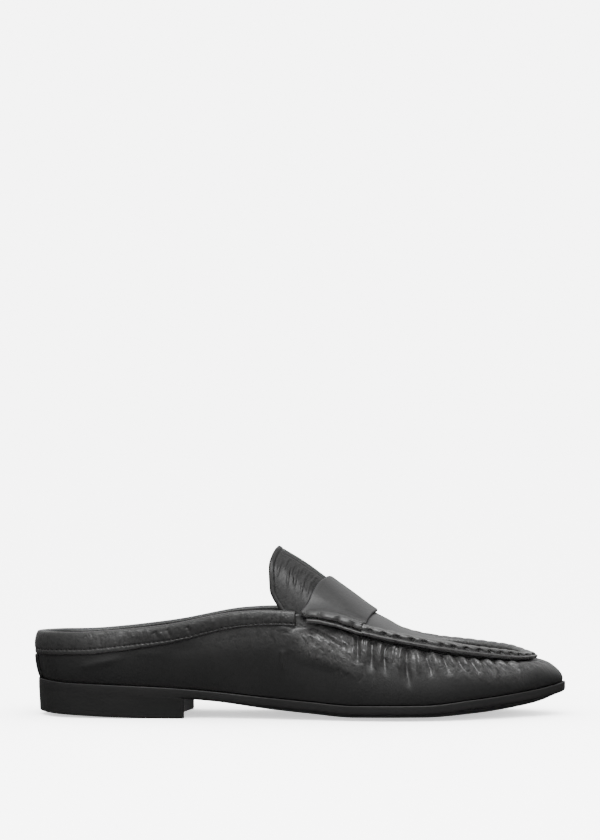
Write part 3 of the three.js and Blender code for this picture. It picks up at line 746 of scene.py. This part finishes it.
# Fine creases strewn over the crumpled place and down from the stitches: how many, how the place
# along the rim is drawn, then the ranges of depth below it, way and half width, the rises and the bow
strewn = np.random.default_rng(11)
strewn_kinds = [
    (110, strewn.normal, (164, 7.5), (7.5, 23), (0.2, 2.6), (0.32, 0.6), [-0.3, -0.2, 0.2, 0.3], 0.4),
    (150, strewn.uniform, (176, 268), (2.5, 15), (1.15, 2.1), (0.28, 0.5), [-0.24, -0.15, 0.15, 0.24],
     0.3),
]
fine_creases = []
for count, draw, arcs, depths, ways, half_widths, rises, bow in strewn_kinds:
    for number in range(count):
        arc, below = draw(*arcs), strewn.uniform(*depths)
        way, length = strewn.uniform(*ways), strewn.uniform(2.0, 5.5)
        fine_creases.append((arc, below, arc + math.cos(way) * length, below + math.sin(way) * length,
                             strewn.uniform(*half_widths), strewn.choice(rises), bow))
seam_from = 147.0
groove_width = 2.3
groove_depth = 1.15
gather_gain = 1.45
inner_shortening = 1.15
puff_height = 0.55
bulge_height = 2.4
tuck_depth = 1.5


def wall_relief(around, up):
    """How far the outer face of the upper stands out of the last's own surface."""
    arc = arc_of(around)
    below = (1 - up) * wall_height(around)
    inner_side = np.mod(around, 1) > 0.5
    # The inner side is gathered to the same stitches, with the folds a little shorter
    own_below = np.where(inner_side, below * inner_shortening, below)
    lift = gather_gain * folds(gathers, arc, own_below) + folds(small_creases, arc, own_below)
    lift += folds(crumple, arc, own_below) + folds(quarter_creases, arc, own_below)
    lift += folds(toe_wrinkles, arc, own_below) + folds(fine_creases, arc, own_below)
    puff = soft_step((arc - 172) / 14) * soft_step((285 - arc) / 20)
    lift += puff_height * puff * np.exp(-((own_below - 8) / 6) ** 2)
    bulge_top = 5.6 + 0.16 * np.abs(arc - 158)
    swelling = soft_step((own_below - bulge_top) / 5.5) * soft_step((27 - own_below) / 14)
    at_strap = np.exp(-((arc - 160) / 14) ** 4)
    tuck = tuck_depth * (1 - soft_step((own_below - bulge_top) / 4))
    lift += at_strap * (bulge_height * swelling - tuck)
    groove = soft_step((arc - seam_from) / 8)
    lift -= groove_depth * groove * np.exp(-(below / groove_width) ** 2)
    return lift * soft_step(below / 0.8 + 0.2) * soft_step(up / 0.06)


def crinkle_and_highlight_mask(around, up):
    """Where the leather is finely crumpled: near the seam, the strap's end and under the band."""
    # Besides the fine crinkles in the relief, this mark lightens the calf's colour as a painted
    # highlight: in the patch under the strap's end, along the seam and in a streak under the band
    arc = arc_of(around)
    below = (1 - up) * wall_height(around)
    patch = np.exp(-((arc - 162) / 14) ** 4 - ((below - 12) / 9) ** 4)
    along_seam = soft_step((arc - 165) / 10) * np.exp(-(below / 13) ** 4) * 0.75
    along_seam *= 1 - 0.75 * soft_step((arc - 252) / 16)
    under_band = 0.3 * np.exp(-((arc - 125) / 30) ** 4 - ((below - 12) / 6) ** 2)
    return np.clip(patch + along_seam + under_band, 0, 1)


upper_arcs = np.concatenate([np.arange(0, 110, 1.6), np.arange(110, 150, 1.0),
                             np.arange(150, toe_arc, 0.56), [toe_arc]])
upper_around = both_sides(upper_arcs)

# Rows of the wall from the feather line up its face, over the rounded edge and down inside: share
# up the wall, way out from the wall's middle, rise over the edge, share of the relief
edge_round = upper_wall / 2
face_rows = 84
upper_rows = [(share, 0, 0, 1) for share in np.linspace(0, 1, face_rows)]
upper_rows += [(1, math.cos(a), math.sin(a), 0) for a in np.linspace(0, math.pi, 9)[1:-1]]
upper_rows += [(share, -1, 0, 0) for share in np.linspace(1, 0, 14)]
upper_rows += [(0, 0, 0, 0)]
upper_row = np.array(upper_rows)
wall_a, wall_r = np.meshgrid(upper_around, np.arange(len(upper_rows)), indexing="ij")
share_up, out_part, raise_part, relief_part = (upper_row[wall_r][..., n] for n in range(4))
wall_tall = wall_height(wall_a)
share_up = share_up * (1 - edge_round / wall_tall)
on_face = (relief_part > 0) | (wall_r == len(upper_rows) - 1)
out = np.where(on_face, 0, (out_part - 1) * edge_round)
relief = wall_relief(wall_a, share_up) * relief_part
# The relief at the top of the face runs out over the rounded edge
relief = np.where(raise_part > 0, relief[:, face_rows - 1:face_rows] * (1 + out_part) / 2, relief)
wall_points = wall_point(wall_a, share_up, out + relief)
wall_points += wall_rise(wall_a) * (raise_part * edge_round)[..., None]
inner_sheet = np.where(np.mod(wall_a, 1) > 0.5, 50.0, 0.0)
lay = laid(arc_of(wall_a), (1 - share_up) * wall_tall, inner_sheet)
# How crumpled the upper is, which sets its crinkles and also a painted highlight in its colour
crumpled = crinkle_and_highlight_mask(wall_a, share_up) * relief_part
upper = leather_piece("upper_leather", [wall_points], {"lay": [lay], "crumple": [crumpled]})


def calf_finish(name, crumple_depth=1.0, shine=0.0, stretch=(1.1, 0.22, 1)):
    """Glossy black calf: fine grain, wrinkles across the pull, crinkles where it is crumpled."""
    finish = Finish(name, {"Specular IOR Level": 0.5, "Coat Roughness": 0.22})
    place = finish.coordinates()
    grain = finish.cells(place, 1500.0)
    pores = finish.noise(place, 2600.0, 2.0)
    wrinkles = finish.noise(finish.lay(stretch), 1.0, 4.0, 0.6, 0.4)
    veins = (1.0 - abs(finish.noise(place, 330.0, 4.0, 0.55, 0.8) * 2.0 - 1.0)) ** 3.0
    mark = finish.mark("crumple")
    patches = finish.noise(place, 28.0, 3.0)
    plain = finish.blend(patches, (0.0012, 0.0012, 0.0012, 1), (0.0022, 0.0022, 0.0022, 1))
    # Where the leather is marked as crumpled, its colour is made lighter, most along the veins: a
    # painted highlight on the crinkles
    crinkle_painted_highlight = mark * (0.12 + veins * 0.7)
    finish.set("Base Color", finish.blend(crinkle_painted_highlight, plain, (0.017, 0.0168, 0.0165, 1)))
    finish.set("Roughness", 0.37 - shine + patches * 0.08 + grain * 0.06 - mark * 0.06)
    finish.set("Coat Weight", 0.1 + mark * 0.5)
    finish.relief(grain * 0.16 + pores * 0.1 + wrinkles * (0.22 + mark * 0.9)
                  + veins * crumple_depth * (mark * 1.7 + 0.04), 0.0003)
    return finish


upper_finish = calf_finish("gathered_calf")
finished(upper, upper_finish, "upper_leather", "upper")

# Collar band: a strip of the same calf folded over the rim of the back and sewn through near its
# lower edge. It ends in a cut edge just behind each end of the strap.
band_thickness = 0.9
band_reach = 147.4
band_stitch_pitch = 2.5
band_inside_part = 0.66
band_groove_depth = 0.3
band_hole_depth = 0.6
band_edge_sink = 0.4
band_swell = 0.35
band_arcs = np.linspace(-band_reach, band_reach, 590)

# Creases across the band where it turns from the heel to the waist
band_creases = [
    (75.4, 2, 77.4, 8, 1.2, -0.4, 0.7), (78.6, 3, 80.6, 8, 1.1, 0.3, 0.6),
    (82.6, 1, 85.2, 7, 0.8, -0.45, -0.7), (92.0, 2, 94.2, 7, 0.9, -0.4, 0.6),
    (50.0, 0, 46.6, 8, 1.4, -0.22, 0.8), (58.0, 1, 54.0, 9, 1.4, 0.22, 0.7),
]
# Fine wrinkles across the band, closer towards the front
band_strewn = np.random.default_rng(3)
for arc in np.concatenate([np.arange(40, 72, 1.9), np.arange(72, 100, 2.3), np.arange(100, 146, 1.25)]):
    start = arc + band_strewn.normal(0, 0.5)
    from_rim, length = band_strewn.uniform(0.5, 3.5), band_strewn.uniform(2.5, 6.5)
    band_creases.append((start, from_rim, start + band_strewn.normal(0, 0.6), from_rim + length,
                         band_strewn.uniform(0.35, 0.6), band_strewn.choice([-0.2, -0.12, 0.14, 0.22]),
                         0.2))


def stitch_below(arc, depth):
    """How far below the rim the band's stitches run: nearer its edge towards the front."""
    return depth - (2.4 - 1.3 * soft_step((np.abs(arc) - 55) / 50))


band_over = np.concatenate([np.linspace(0, 1, 30), np.linspace(1, 2, 12)[1:],
                            np.linspace(2, 3, 12)[1:]])
band_s, band_p = np.meshgrid(band_arcs, band_over, indexing="ij")
band_a = around_at(band_s)
band_tall = wall_height(band_a)
band_low = band_depth(band_a)[..., 0]
fold_radius = edge_round + clearance + band_thickness / 2
below_rim = np.where(band_p <= 1, edge_round + (band_low - edge_round) * (1 - band_p),
                     np.where(band_p < 2, edge_round,
                              edge_round + (band_p - 2) * band_inside_part * band_low))
fold_turn = np.clip(band_p - 1, 0, 1) * math.pi
fold_square = 0.6
fold_cosine = np.cos(fold_turn)
band_out = -edge_round + fold_radius * np.sign(fold_cosine) * np.abs(fold_cosine) ** fold_square
band_up = fold_radius * np.abs(np.sin(fold_turn)) ** fold_square * (band_p > 1) * (band_p < 2)
band_relief = folds(band_creases, np.abs(band_s), below_rim) * (band_p <= 1.2)
stitch_line = stitch_below(band_s, band_low)
groove_across = np.exp(-((below_rim - stitch_line) / 0.5) ** 2)
holes_along = 0.5 + 0.5 * np.cos(band_s / band_stitch_pitch * 2 * math.pi)
stitch_depth = band_groove_depth + band_hole_depth * holes_along ** 2
band_relief -= stitch_depth * groove_across * (band_p < 1)
edge_share = soft_step((below_rim - stitch_line) / (band_low - stitch_line))
band_relief -= band_edge_sink * edge_share * (band_p < 1)
roll_share = np.clip(below_rim / stitch_line, 0, 1)
band_relief += band_swell * np.sin(roll_share * math.pi) * (band_p <= 1)
band_middle = (wall_point(band_a, 1 - below_rim / band_tall, band_out + band_relief)
               + wall_rise(band_a) * band_up[..., None])


def leather_slab(name, middle, thickness, edge, lay, crumple):
    """A sheet with its middle surface given as a grid, rounded off to nothing at its four edges."""
    along = np.gradient(middle, axis=0)
    across = np.gradient(middle, axis=1)
    normal = unit(np.cross(along, across))
    far = []
    for axis in (0, 1):
        steps = np.linalg.norm(np.diff(middle, axis=axis), axis=-1)
        start = np.concatenate([np.zeros_like(np.take(steps, [0], axis=axis)),
                                np.cumsum(steps, axis=axis)], axis=axis)
        from_end = np.take(start, [-1], axis=axis) - start
        near = np.minimum(start, from_end) / edge
        far.append(np.sqrt(1 - (1 - np.clip(near, 0, 1)) ** 2))
    half = thickness / 2 * far[0] * far[1]
    face = middle + normal * half[..., None]
    back = middle - normal * half[..., None]
    # The crumple mark sets the crinkles in the finish and also a painted highlight in its colour
    crumple = np.broadcast_to(crumple, lay.shape[:2])
    return leather_piece(name, [face, back], {"lay": [lay] * 2, "crumple": [crumple] * 2})


# How crumpled the band is, which also paints a highlight into its colour, strongest about 52 mm round
# from the back and towards its ends
band_crinkle_and_highlight = (0.14 + 0.2 * np.exp(-((np.abs(band_s) - 52) / 14) ** 4)
                + 0.12 * soft_step((np.abs(band_s) - 90) / 30))
band = leather_slab("collar_band_leather", band_middle, band_thickness, band_thickness / 2,
                    laid(band_s, below_rim, 90.0), band_crinkle_and_highlight)
band_finish = calf_finish("band_calf", 0.9, 0.03, (1.3, 0.12, 1))
finished(band, band_finish, "upper_leather", "collar_band")

stitch_arcs = (np.arange(-58, 58) + 0.22) * band_stitch_pitch
stitch_length = 1.4
stitch_radius = 0.24
stitch_sink = 0.35


def on_band(arc):
    around = around_at(arc)
    below = stitch_below(arc, band_depth(around)[..., 0])
    return wall_point(around, 1 - below / wall_height(around),
                      np.full(arc.shape, clearance + band_thickness - stitch_sink))


stitch_around = around_at(stitch_arcs)
stitch_outs = wall_normal(stitch_around, np.full(stitch_arcs.shape, 0.8))
# Each stitch is a short round of thread between two holes
thread_rounds = bmesh.new()
for start, end, out_way in zip(on_band(stitch_arcs), on_band(stitch_arcs + stitch_length), stitch_outs):
    start, end = (Vector((point + to_origin) / 1000) for point in (start, end))
    lie = (end - start).normalized()
    side = lie.cross(Vector(out_way)).normalized()
    rise = side.cross(lie)
    half, radius = (end - start).length / 2, stitch_radius / 1000
    place = Matrix((lie * half, side * radius, rise * radius)).transposed()
    bmesh.ops.create_icosphere(thread_rounds, subdivisions=1, radius=1.0,
                               matrix=Matrix.Translation((start + end) / 2) @ place.to_4x4())
band_thread = shown(thread_rounds, bpy.data.meshes.new("collar_band_stitches"))
thread_finish = Finish("waxed_thread", {"Specular IOR Level": 0.5})
thread_twist = thread_finish.noise(thread_finish.coordinates((900, 900, 900)), 3.0, 2.0)
thread_finish.set("Base Color", thread_finish.blend(
    thread_twist, (0.003, 0.003, 0.003, 1), (0.009, 0.009, 0.009, 1)))
thread_finish.set("Roughness", 0.35 + thread_twist * 0.2)
thread_finish.relief(thread_twist, 0.00005)
finished(band_thread, thread_finish, "upper_leather")

# Back strap: a narrow strip of the same calf, its edges drawn in, sewn up over the back seam from
# the sole to the lower edge of the band.
back_strap_width = 15.0
back_strap_thickness = 0.9
strip_arcs = np.linspace(-back_strap_width / 2, back_strap_width / 2, 33)
strip_s, strip_p = np.meshgrid(strip_arcs, np.linspace(0.03, 1, 40), indexing="ij")
strip_a = around_at(strip_s)
strip_top = 1 - (collar_band_height + clearance) / wall_height(strip_a)
strip_close = soft_step((np.abs(strip_s) - back_strap_width / 2 + 1.2) / 1.2)
strip_middle = wall_point(strip_a, strip_top * strip_p, clearance + back_strap_thickness / 2
                          - (clearance + back_strap_thickness / 2) * strip_close)
back_strip = leather_slab("back_strap_leather", strip_middle, back_strap_thickness,
                          back_strap_thickness / 2, laid(strip_s, strip_p * 20, 130.0), 0.0)
finished(back_strip, calf_finish("strip_calf", 0.3), "upper_leather", "back_strap")

# Apron: the plug that closes the front, smooth where it comes out under the strap and sinking
# between the seams towards the toe
arch_rows = [
    (.42, 1.98), (.455, 1.66), (.504, 1.31), (.552, 1), (.597, .77), (.642, .52), (.664, .45),
    (.687, .36), (.71, .31), (.757, .25), (.806, .17), (.866, .12), (.91, .06), (.935, 0),
]
arch_along, arch_share = np.array(arch_rows, float).T
instep_arch = 20.0
arch_fullness = 2.4
edge_sweep = 1.4
tongue_front = (160.0, 149.0)
apron_thickness = 1.8
apron_edge_round = 0.4


def top_middle(station):
    return (rim(around_of(station, -1)) + rim(around_of(station, 1))) / 2


def arch_height(station):
    return eased(arch_along, arch_share, top_middle(station)[..., 0] / sole_length) * instep_arch


station_table = np.linspace(0, last_section, 1101)
station_reach = top_middle(station_table)[:, 0]


def station_at(along):
    return np.interp(along, station_reach, station_table)


def swept(at_crown, at_rail, across):
    """Length from the heel of an edge that sweeps from its place at the crown to the rail."""
    return at_crown + (at_rail - at_crown) * np.abs(across) ** edge_sweep


def bridged(rails, across, lift):
    """The face between two rails, lifted over its middle to a full arch."""
    share = ((across + 1) / 2)[..., None]
    arch = lift * (1 - np.abs(across) ** arch_fullness)
    return rails[0] * (1 - share) + rails[1] * share + straight_up * arch[..., None]


def apron_face(station, across):
    rails = []
    for side in (-1, 1):
        around = around_of(station, side)
        rails.append(rim(around) + wall_rise(around) * clearance)
    return bridged(rails, across, arch_height(station))


apron_across = np.sin(np.linspace(-math.pi / 2, math.pi / 2, 61))
apron_steps = np.linspace(0, 1, 150)
apron_t, apron_c = np.meshgrid(apron_steps, apron_across, indexing="ij")
apron_from = station_at(swept(*tongue_front, apron_c) + clearance)
apron_station = apron_from + (last_section - 0.02 - apron_from) * apron_t
apron_middle = apron_face(apron_station, apron_c) - straight_up * apron_thickness / 2
apron = leather_slab("apron_leather", apron_middle, apron_thickness, apron_edge_round,
                     laid(apron_middle[..., 0] * 0.4, apron_middle[..., 1], 170.0), 0.12)
finished(apron, calf_finish("apron_calf", 0.4, 0.03), "upper_leather", "apron")

# Tongue: the upright end behind the strap, lined, its free edge bound with a turned strip that is
# sewn a few millimetres in
tongue_thickness = 2.0
tongue_inset = upper_wall + 0.9 + clearance * 3
tongue_tuck = 5.0
tongue_end_gap = 1.0
tongue_binding = 2.7
binding_height = 0.25
binding_seam_depth = 0.5
wrinkle_width = 0.42
tongue_end_rows = [(0, .457), (.12, .4565), (.3, .453), (.45, .448), (.62, .4428), (.8, .445),
                   (.92, .464), (1, .499)]
end_across, end_along = np.array(tongue_end_rows, float).T


def tongue_face(station, across):
    rails = []
    for side in (-1, 1):
        around = around_of(station, side)
        share = 1 - tongue_tuck / wall_height(around)
        rails.append(wall_point(around, share, np.full(around.shape, -tongue_inset)))
    rail_height = (rails[0][..., 2] + rails[1][..., 2]) / 2
    return bridged(rails, across, top_middle(station)[..., 2] + arch_height(station) - rail_height)


tongue_across = np.sin(np.linspace(-math.pi / 2, math.pi / 2, 181))
crown = len(tongue_across) // 2
tongue_t, tongue_c = np.meshgrid(np.linspace(0, 1, 130) ** 1.1, tongue_across, indexing="ij")
tongue_rear = eased(end_across, end_along, np.abs(tongue_c)) * sole_length
tongue_ahead = swept(*tongue_front, tongue_c) - tongue_end_gap
tongue_station = station_at(tongue_rear + (tongue_ahead - tongue_rear) * tongue_t)
tongue_outer = tongue_face(tongue_station, tongue_c)
tongue_normal = unit(np.cross(np.gradient(tongue_outer, axis=0), np.gradient(tongue_outer, axis=1)))
tongue_normal *= np.sign(tongue_normal[60, crown, 2])
from_edge = np.concatenate([
    np.zeros((1, len(tongue_across))),
    np.cumsum(np.linalg.norm(np.diff(tongue_outer, axis=0), axis=-1), axis=0),
])
from_crown = np.cumsum(np.linalg.norm(np.diff(tongue_outer, axis=1, prepend=tongue_outer[:, :1]),
                                      axis=-1), axis=1)
from_crown -= from_crown[:, crown:crown + 1]
seam_line = np.exp(-((from_edge - tongue_binding) / 0.35) ** 2)
rolled = binding_height * soft_step((tongue_binding - from_edge) / 0.6)
# The main wrinkles: length from the edge, length from the crown line to its middle, half length,
# rise and lean
wrinkle_rows = [
    (5.6, -17.5, 5.0, 0.26, .10), (8.4, -14.0, 4.0, 0.24, .05), (10.6, -20.5, 5.0, 0.26, .12),
    (12.4, -15.5, 4.5, 0.28, .06), (14.8, -19.0, 5.5, 0.30, .16), (16.6, -14.0, 3.5, 0.24, .10),
    (18.2, -21.5, 5.0, 0.30, .22), (20.0, -16.0, 4.5, 0.28, .20), (22.0, -20.0, 5.0, 0.30, .30),
    (24.2, -15.0, 4.5, 0.28, .30), (6.4, 16.5, 4.5, 0.26, .10), (9.8, 19.0, 4.5, 0.26, .12),
    (13.2, 15.5, 4.5, 0.26, .10), (16.4, 19.5, 5.0, 0.28, .16), (19.6, 16.5, 4.5, 0.28, .20),
    (22.8, 19.5, 5.0, 0.28, .28),
]
fine_wrinkles = np.random.default_rng(5)
for count in range(64):
    side = fine_wrinkles.choice([-1, 1])
    wrinkle_rows.append((
        fine_wrinkles.uniform(4.6, 27), side * fine_wrinkles.uniform(9, 26),
        fine_wrinkles.uniform(1.6, 3.6), fine_wrinkles.uniform(-0.12, 0.2),
        fine_wrinkles.uniform(-0.1, 0.3),
    ))
wrinkling = np.zeros(from_edge.shape)
for edge_far, middle, half_length, rise, lean in wrinkle_rows:
    beyond = (from_crown - middle) / half_length
    leaned = np.abs(from_crown - middle) * 0.04 + (np.abs(from_crown) - abs(middle)) * lean
    across = (from_edge - edge_far + leaned) / wrinkle_width
    wrinkling += rise * np.exp(-across ** 2 - beyond ** 4)
# Long creases from the edge to the strap, beside the crown
for crown_far, rise in ((-5.2, -0.28), (-6.6, 0.16), (-8.2, -0.18), (5.4, -0.24), (7.4, 0.14)):
    swing = 0.5 * np.sin(from_edge * 0.35 + crown_far)
    wrinkling += rise * np.exp(-((from_crown - crown_far - swing) / 0.4) ** 2)
tongue_relief = rolled - binding_seam_depth * seam_line
tongue_relief += wrinkling * soft_step((from_edge - 3.6) / 1.2)
tongue_middle = tongue_outer + tongue_normal * (tongue_relief - tongue_thickness / 2)[..., None]
tongue = leather_slab("tongue_leather", tongue_middle, tongue_thickness, tongue_thickness / 2,
                      laid(from_edge, tongue_c * 24, 210.0), 0.12)
tongue_finish = calf_finish("tongue_calf", 3.0, -0.06, (1.2, 0.25, 1))
tongue_finish.set("Specular IOR Level", 0.2)
finished(tongue, tongue_finish, "upper_leather", "tongue")

# Saddle strap: a smooth strap across the instep. Its ends are turned down over the raised seam and
# caught by its stitches, so that they puff out between them, above the lip of the seam.
strap_thickness = 1.6
strap_gap = 0.45
strap_rear = (149.4, 136.0)
strap_front = (172.5, 167.0)
strap_corner_round = 3.2
strap_stitches = (138.4, 145.8, 154.3, 161.6)
strap_pull_width = 1.35
beside_seam = 0.95
# How far the seam stands above the rail, by length from the heel: it crosses the rail under the strap
seam_course = [(133, -3.9), (138.4, -3.5), (143.4, -2.3), (148.7, -1.0), (158.6, 0.8), (164, 1.0),
               (195, 1.0), (225, 0.6), (250, 0.0), (268, 0.0)]
course_along, course_lift = np.array(seam_course, float).T
seam_lean = 0.5


def arch_normal(station, across):
    """The upward way square to the apron's face."""
    step = 0.01
    way = unit(np.cross(
        apron_face(station + step, across) - apron_face(station - step, across),
        apron_face(station, across + step) - apron_face(station, across - step)))
    return way * np.sign(way[..., 2:])


def seam_frame(around):
    """The foot of the raised seam, its outward way, and its up way, which leans out at the front."""
    station = np.minimum(np.mod(around, 1), 1 - np.mod(around, 1)) * 2 * last_section
    side = np.where(np.mod(around, 1) <= 0.5, -1.0, 1.0)
    arch_up = arch_normal(np.minimum(station, last_section - 0.5), side * beside_seam)
    leaning = unit(wall_normal(around, np.ones(around.shape)) + arch_up)
    along = rim(around)[..., :1]
    share = soft_step((along - 138) / 30) * seam_lean
    upward = unit(straight_up * (1 - share) + leaning * share)
    foot = rim(around) + wall_rise(around) * clearance / 2
    foot = foot + straight_up * eased(course_along, course_lift, along)
    tangent = unit(rim(around + 1e-4) - rim(around - 1e-4))
    return foot, unit(np.cross(tangent, upward)), upward


def over_ridge(along, pull):
    """The strap's way over the seam, out and up, from above the rail to its edge in the groove."""
    low = 1 - 0.1 * soft_step((along - 145) / 20)
    ways = [(-0.1, 5.45), (1.35, 4.85), (2.0, 3.95), (1.9, 3.2)]
    pulls = [0.1, 0.6, 1.0, 1.0]
    return [(out - (1.45 * pull - 0.35) * part, (up - 0.5 * pull * part) * low)
            for (out, up), part in zip(ways, pulls)]


def through(points, shares):
    """An even smooth curve through a list of places, each an array with a point for each row."""
    points = np.stack(points, axis=1)
    before = np.concatenate([2 * points[:, :1] - points[:, 1:2], points[:, :-1]], axis=1)
    after = np.concatenate([points[:, 1:], 2 * points[:, -1:] - points[:, -2:-1]], axis=1)
    lean = (after - before) / 2
    place = shares * (points.shape[1] - 1)
    k = np.minimum(place.astype(int), points.shape[1] - 2)
    t = (place - k)[None, :, None]
    return cubic(points[:, k], points[:, k + 1], lean[:, k], lean[:, k + 1], t)


strap_steps = np.linspace(0, 1, 96)


def strap_side(side):
    """One half of the strap's middle surface, from the crown to its turned edge."""
    arch_c = side * np.linspace(0, 0.86, 9)
    t, c = np.meshgrid(strap_steps, arch_c, indexing="ij")
    rear, front = swept(*strap_rear, c), swept(*strap_front, c)
    stations = station_at(rear + (front - rear) * t)
    arch = apron_face(stations, c) + arch_normal(stations, c) * (strap_gap + strap_thickness / 2)
    drawn = eased(course_along, course_lift, rear + (front - rear) * t) * np.abs(c) ** 2.5
    arch = arch + straight_up * drawn[..., None]
    rows = [arch[:, j] for j in range(arch.shape[1])]
    for j in range(4):
        turned = (j + 0.3) / 3.3
        corner = strap_corner_round * turned ** 3
        along = strap_rear[1] + corner + (strap_front[1] - 0.4 - strap_rear[1] - corner) * strap_steps
        around = around_of(station_at(along), side)
        foot, outward, upward = seam_frame(around)
        pull = sum(np.exp(-((along - place) / strap_pull_width) ** 2) for place in strap_stitches)
        place = over_ridge(along, pull)[j]
        rows.append(foot + outward * place[0][:, None] + upward * place[1][:, None])
    shares = np.concatenate([np.linspace(0, 0.55, 50)[:-1], np.linspace(0.55, 1, 64)])
    return through(rows, shares)


strap_near, strap_far = strap_side(-1), strap_side(1)
strap_middle = np.concatenate([strap_near[:, ::-1], strap_far[:, 1:]], axis=1)
strap_along, strap_across = np.meshgrid(strap_steps, np.linspace(-1, 1, strap_middle.shape[1]),
                                        indexing="ij")
# The strap's ends are marked as crumpled, which puts crinkles in their relief and paints a highlight
# into their colour
strap_crinkle_and_highlight = 0.1 + 0.6 * soft_step((np.abs(strap_across) - 0.6) / 0.3)
strap = leather_slab("saddle_strap_leather", strap_middle, strap_thickness, strap_thickness / 2,
                     laid(strap_across * 40, strap_along * 30, 250.0), strap_crinkle_and_highlight)
strap_finish = calf_finish("strap_calf", 0.25, 0.02, (0.3, 0.3, 1))
strap_finish.set("Specular IOR Level", 0.37)
finished(strap, strap_finish, "strap_leather", "saddle_strap")

# Apron seam: the edges of vamp and apron stood up against each other and sewn by hand. This makes a
# ridge with a lip along its outer foot, and a deep pit above the lip at each stitch.
seam_start_along = 165.6
seam_stitches = np.array([186.0, 193.2, 199.8, 207.1, 213.2, 222.1, 228.0, 234.9, 241.9, 248.0,
                          254.2, 260.0, 265.8, 271.5, 277.5])
# Round the ridge: out and up from the foot of the seam
seam_section = [
    (0.9, 0.0), (2.1, -0.1), (3.0, 0.3), (3.5, 1.1), (3.55, 1.8), (2.9, 2.15), (2.15, 2.3),
    (2.1, 2.9), (2.1, 3.7), (1.5, 4.4), (0.5, 4.7), (-0.7, 4.5), (-1.8, 3.6), (-2.4, 2.2),
    (-2.1, 0.8), (-0.9, 0.1),
]
# The same under the strap, where the strap covers the top of the ridge
covered_section = [
    (0.9, 0.0), (2.3, -0.15), (3.5, 0.3), (4.1, 1.05), (3.8, 1.75), (2.9, 1.95), (2.0, 1.9),
    (1.2, 2.1), (0.6, 2.6), (0.0, 2.9), (-0.7, 2.7), (-1.1, 2.0), (-1.1, 0.8), (-0.3, 0.1),
]

pit_depth = 1.9
pit_width = 1.4


def seam_ridge(name, around, outline_points, stitch_arcs, toe_drop):
    """A length of the raised seam, drawn in at its stitches, its ends closed."""
    points = np.column_stack([outline_points, np.zeros(len(outline_points))])
    ring = closed_curve(points)
    a, q = np.meshgrid(around, np.linspace(0, 1, 53), indexing="ij")
    shape = ring(q)
    out, up = shape[..., 0], shape[..., 1]
    arc = arc_of(a)
    pit = sum(np.exp(-((arc - place) / pit_width) ** 2) for place in stitch_arcs)
    in_groove = np.exp(-((out - 2.1) / 1.2) ** 2 - ((up - 2.95) / 0.95) ** 2)
    over_top = soft_step((up - 2.6) / 2.0)
    at_lip = np.exp(-((up - 1.0) / 0.8) ** 2) * soft_step((out - 1.5) / 1.0)
    out = out - pit_depth * pit * in_groove + 0.4 * (1 - pit) * in_groove
    out = out - 0.22 * pit * at_lip - 0.12 * pit * over_top * np.sign(out)
    up = up - 0.22 * pit * over_top + 0.15 * pit * at_lip
    up = up * (1 - toe_drop * soft_step((arc - 258) / 18) * soft_step((up - 1.5) / 2))
    from_end = np.minimum(np.arange(len(around)), np.arange(len(around))[::-1])[:, None] * 0.5
    full = np.sqrt(1 - (1 - np.clip(from_end / 1.1, 0, 1)) ** 2)
    out, up = 0.8 + (out - 0.8) * full, 1.8 + (up - 1.8) * full
    foot, outward, upward = seam_frame(a)
    # The seam is marked as crumpled all over, which gives it crinkles and also paints a highlight into
    # its colour
    marks = {"lay": [laid(arc, q * 14, 290.0)], "crumple": [np.full(q.shape, 0.75)]}
    return leather_piece(name, [foot + outward * out[..., None] + upward * up[..., None]], marks)


seam_from_arc = arc_of(np.array(around_of(station_at(seam_start_along), -1)))
seam_arcs = np.append(np.arange(seam_from_arc, toe_arc, 0.42), toe_arc)
seam_around = both_sides(seam_arcs)
seam_piece = seam_ridge("apron_seam_leather", seam_around, seam_section, seam_stitches, 0.3)
seam_finish = calf_finish("seam_calf", 0.4, 0.04)
finished(seam_piece, seam_finish, "upper_leather", "apron_seam")
for side, name in ((-1, "outer_strap_seam"), (1, "inner_strap_seam")):
    covered_along = np.linspace(strap_rear[1] + 2.6, strap_front[1] + 0.6, 72)
    covered_around = around_of(station_at(covered_along), side)
    covered_stitches = arc_of(around_of(station_at(np.array(strap_stitches)), side))
    lip = seam_ridge(name, covered_around, covered_section, covered_stitches, 0.0)
    finished(lip, seam_finish, "upper_leather")
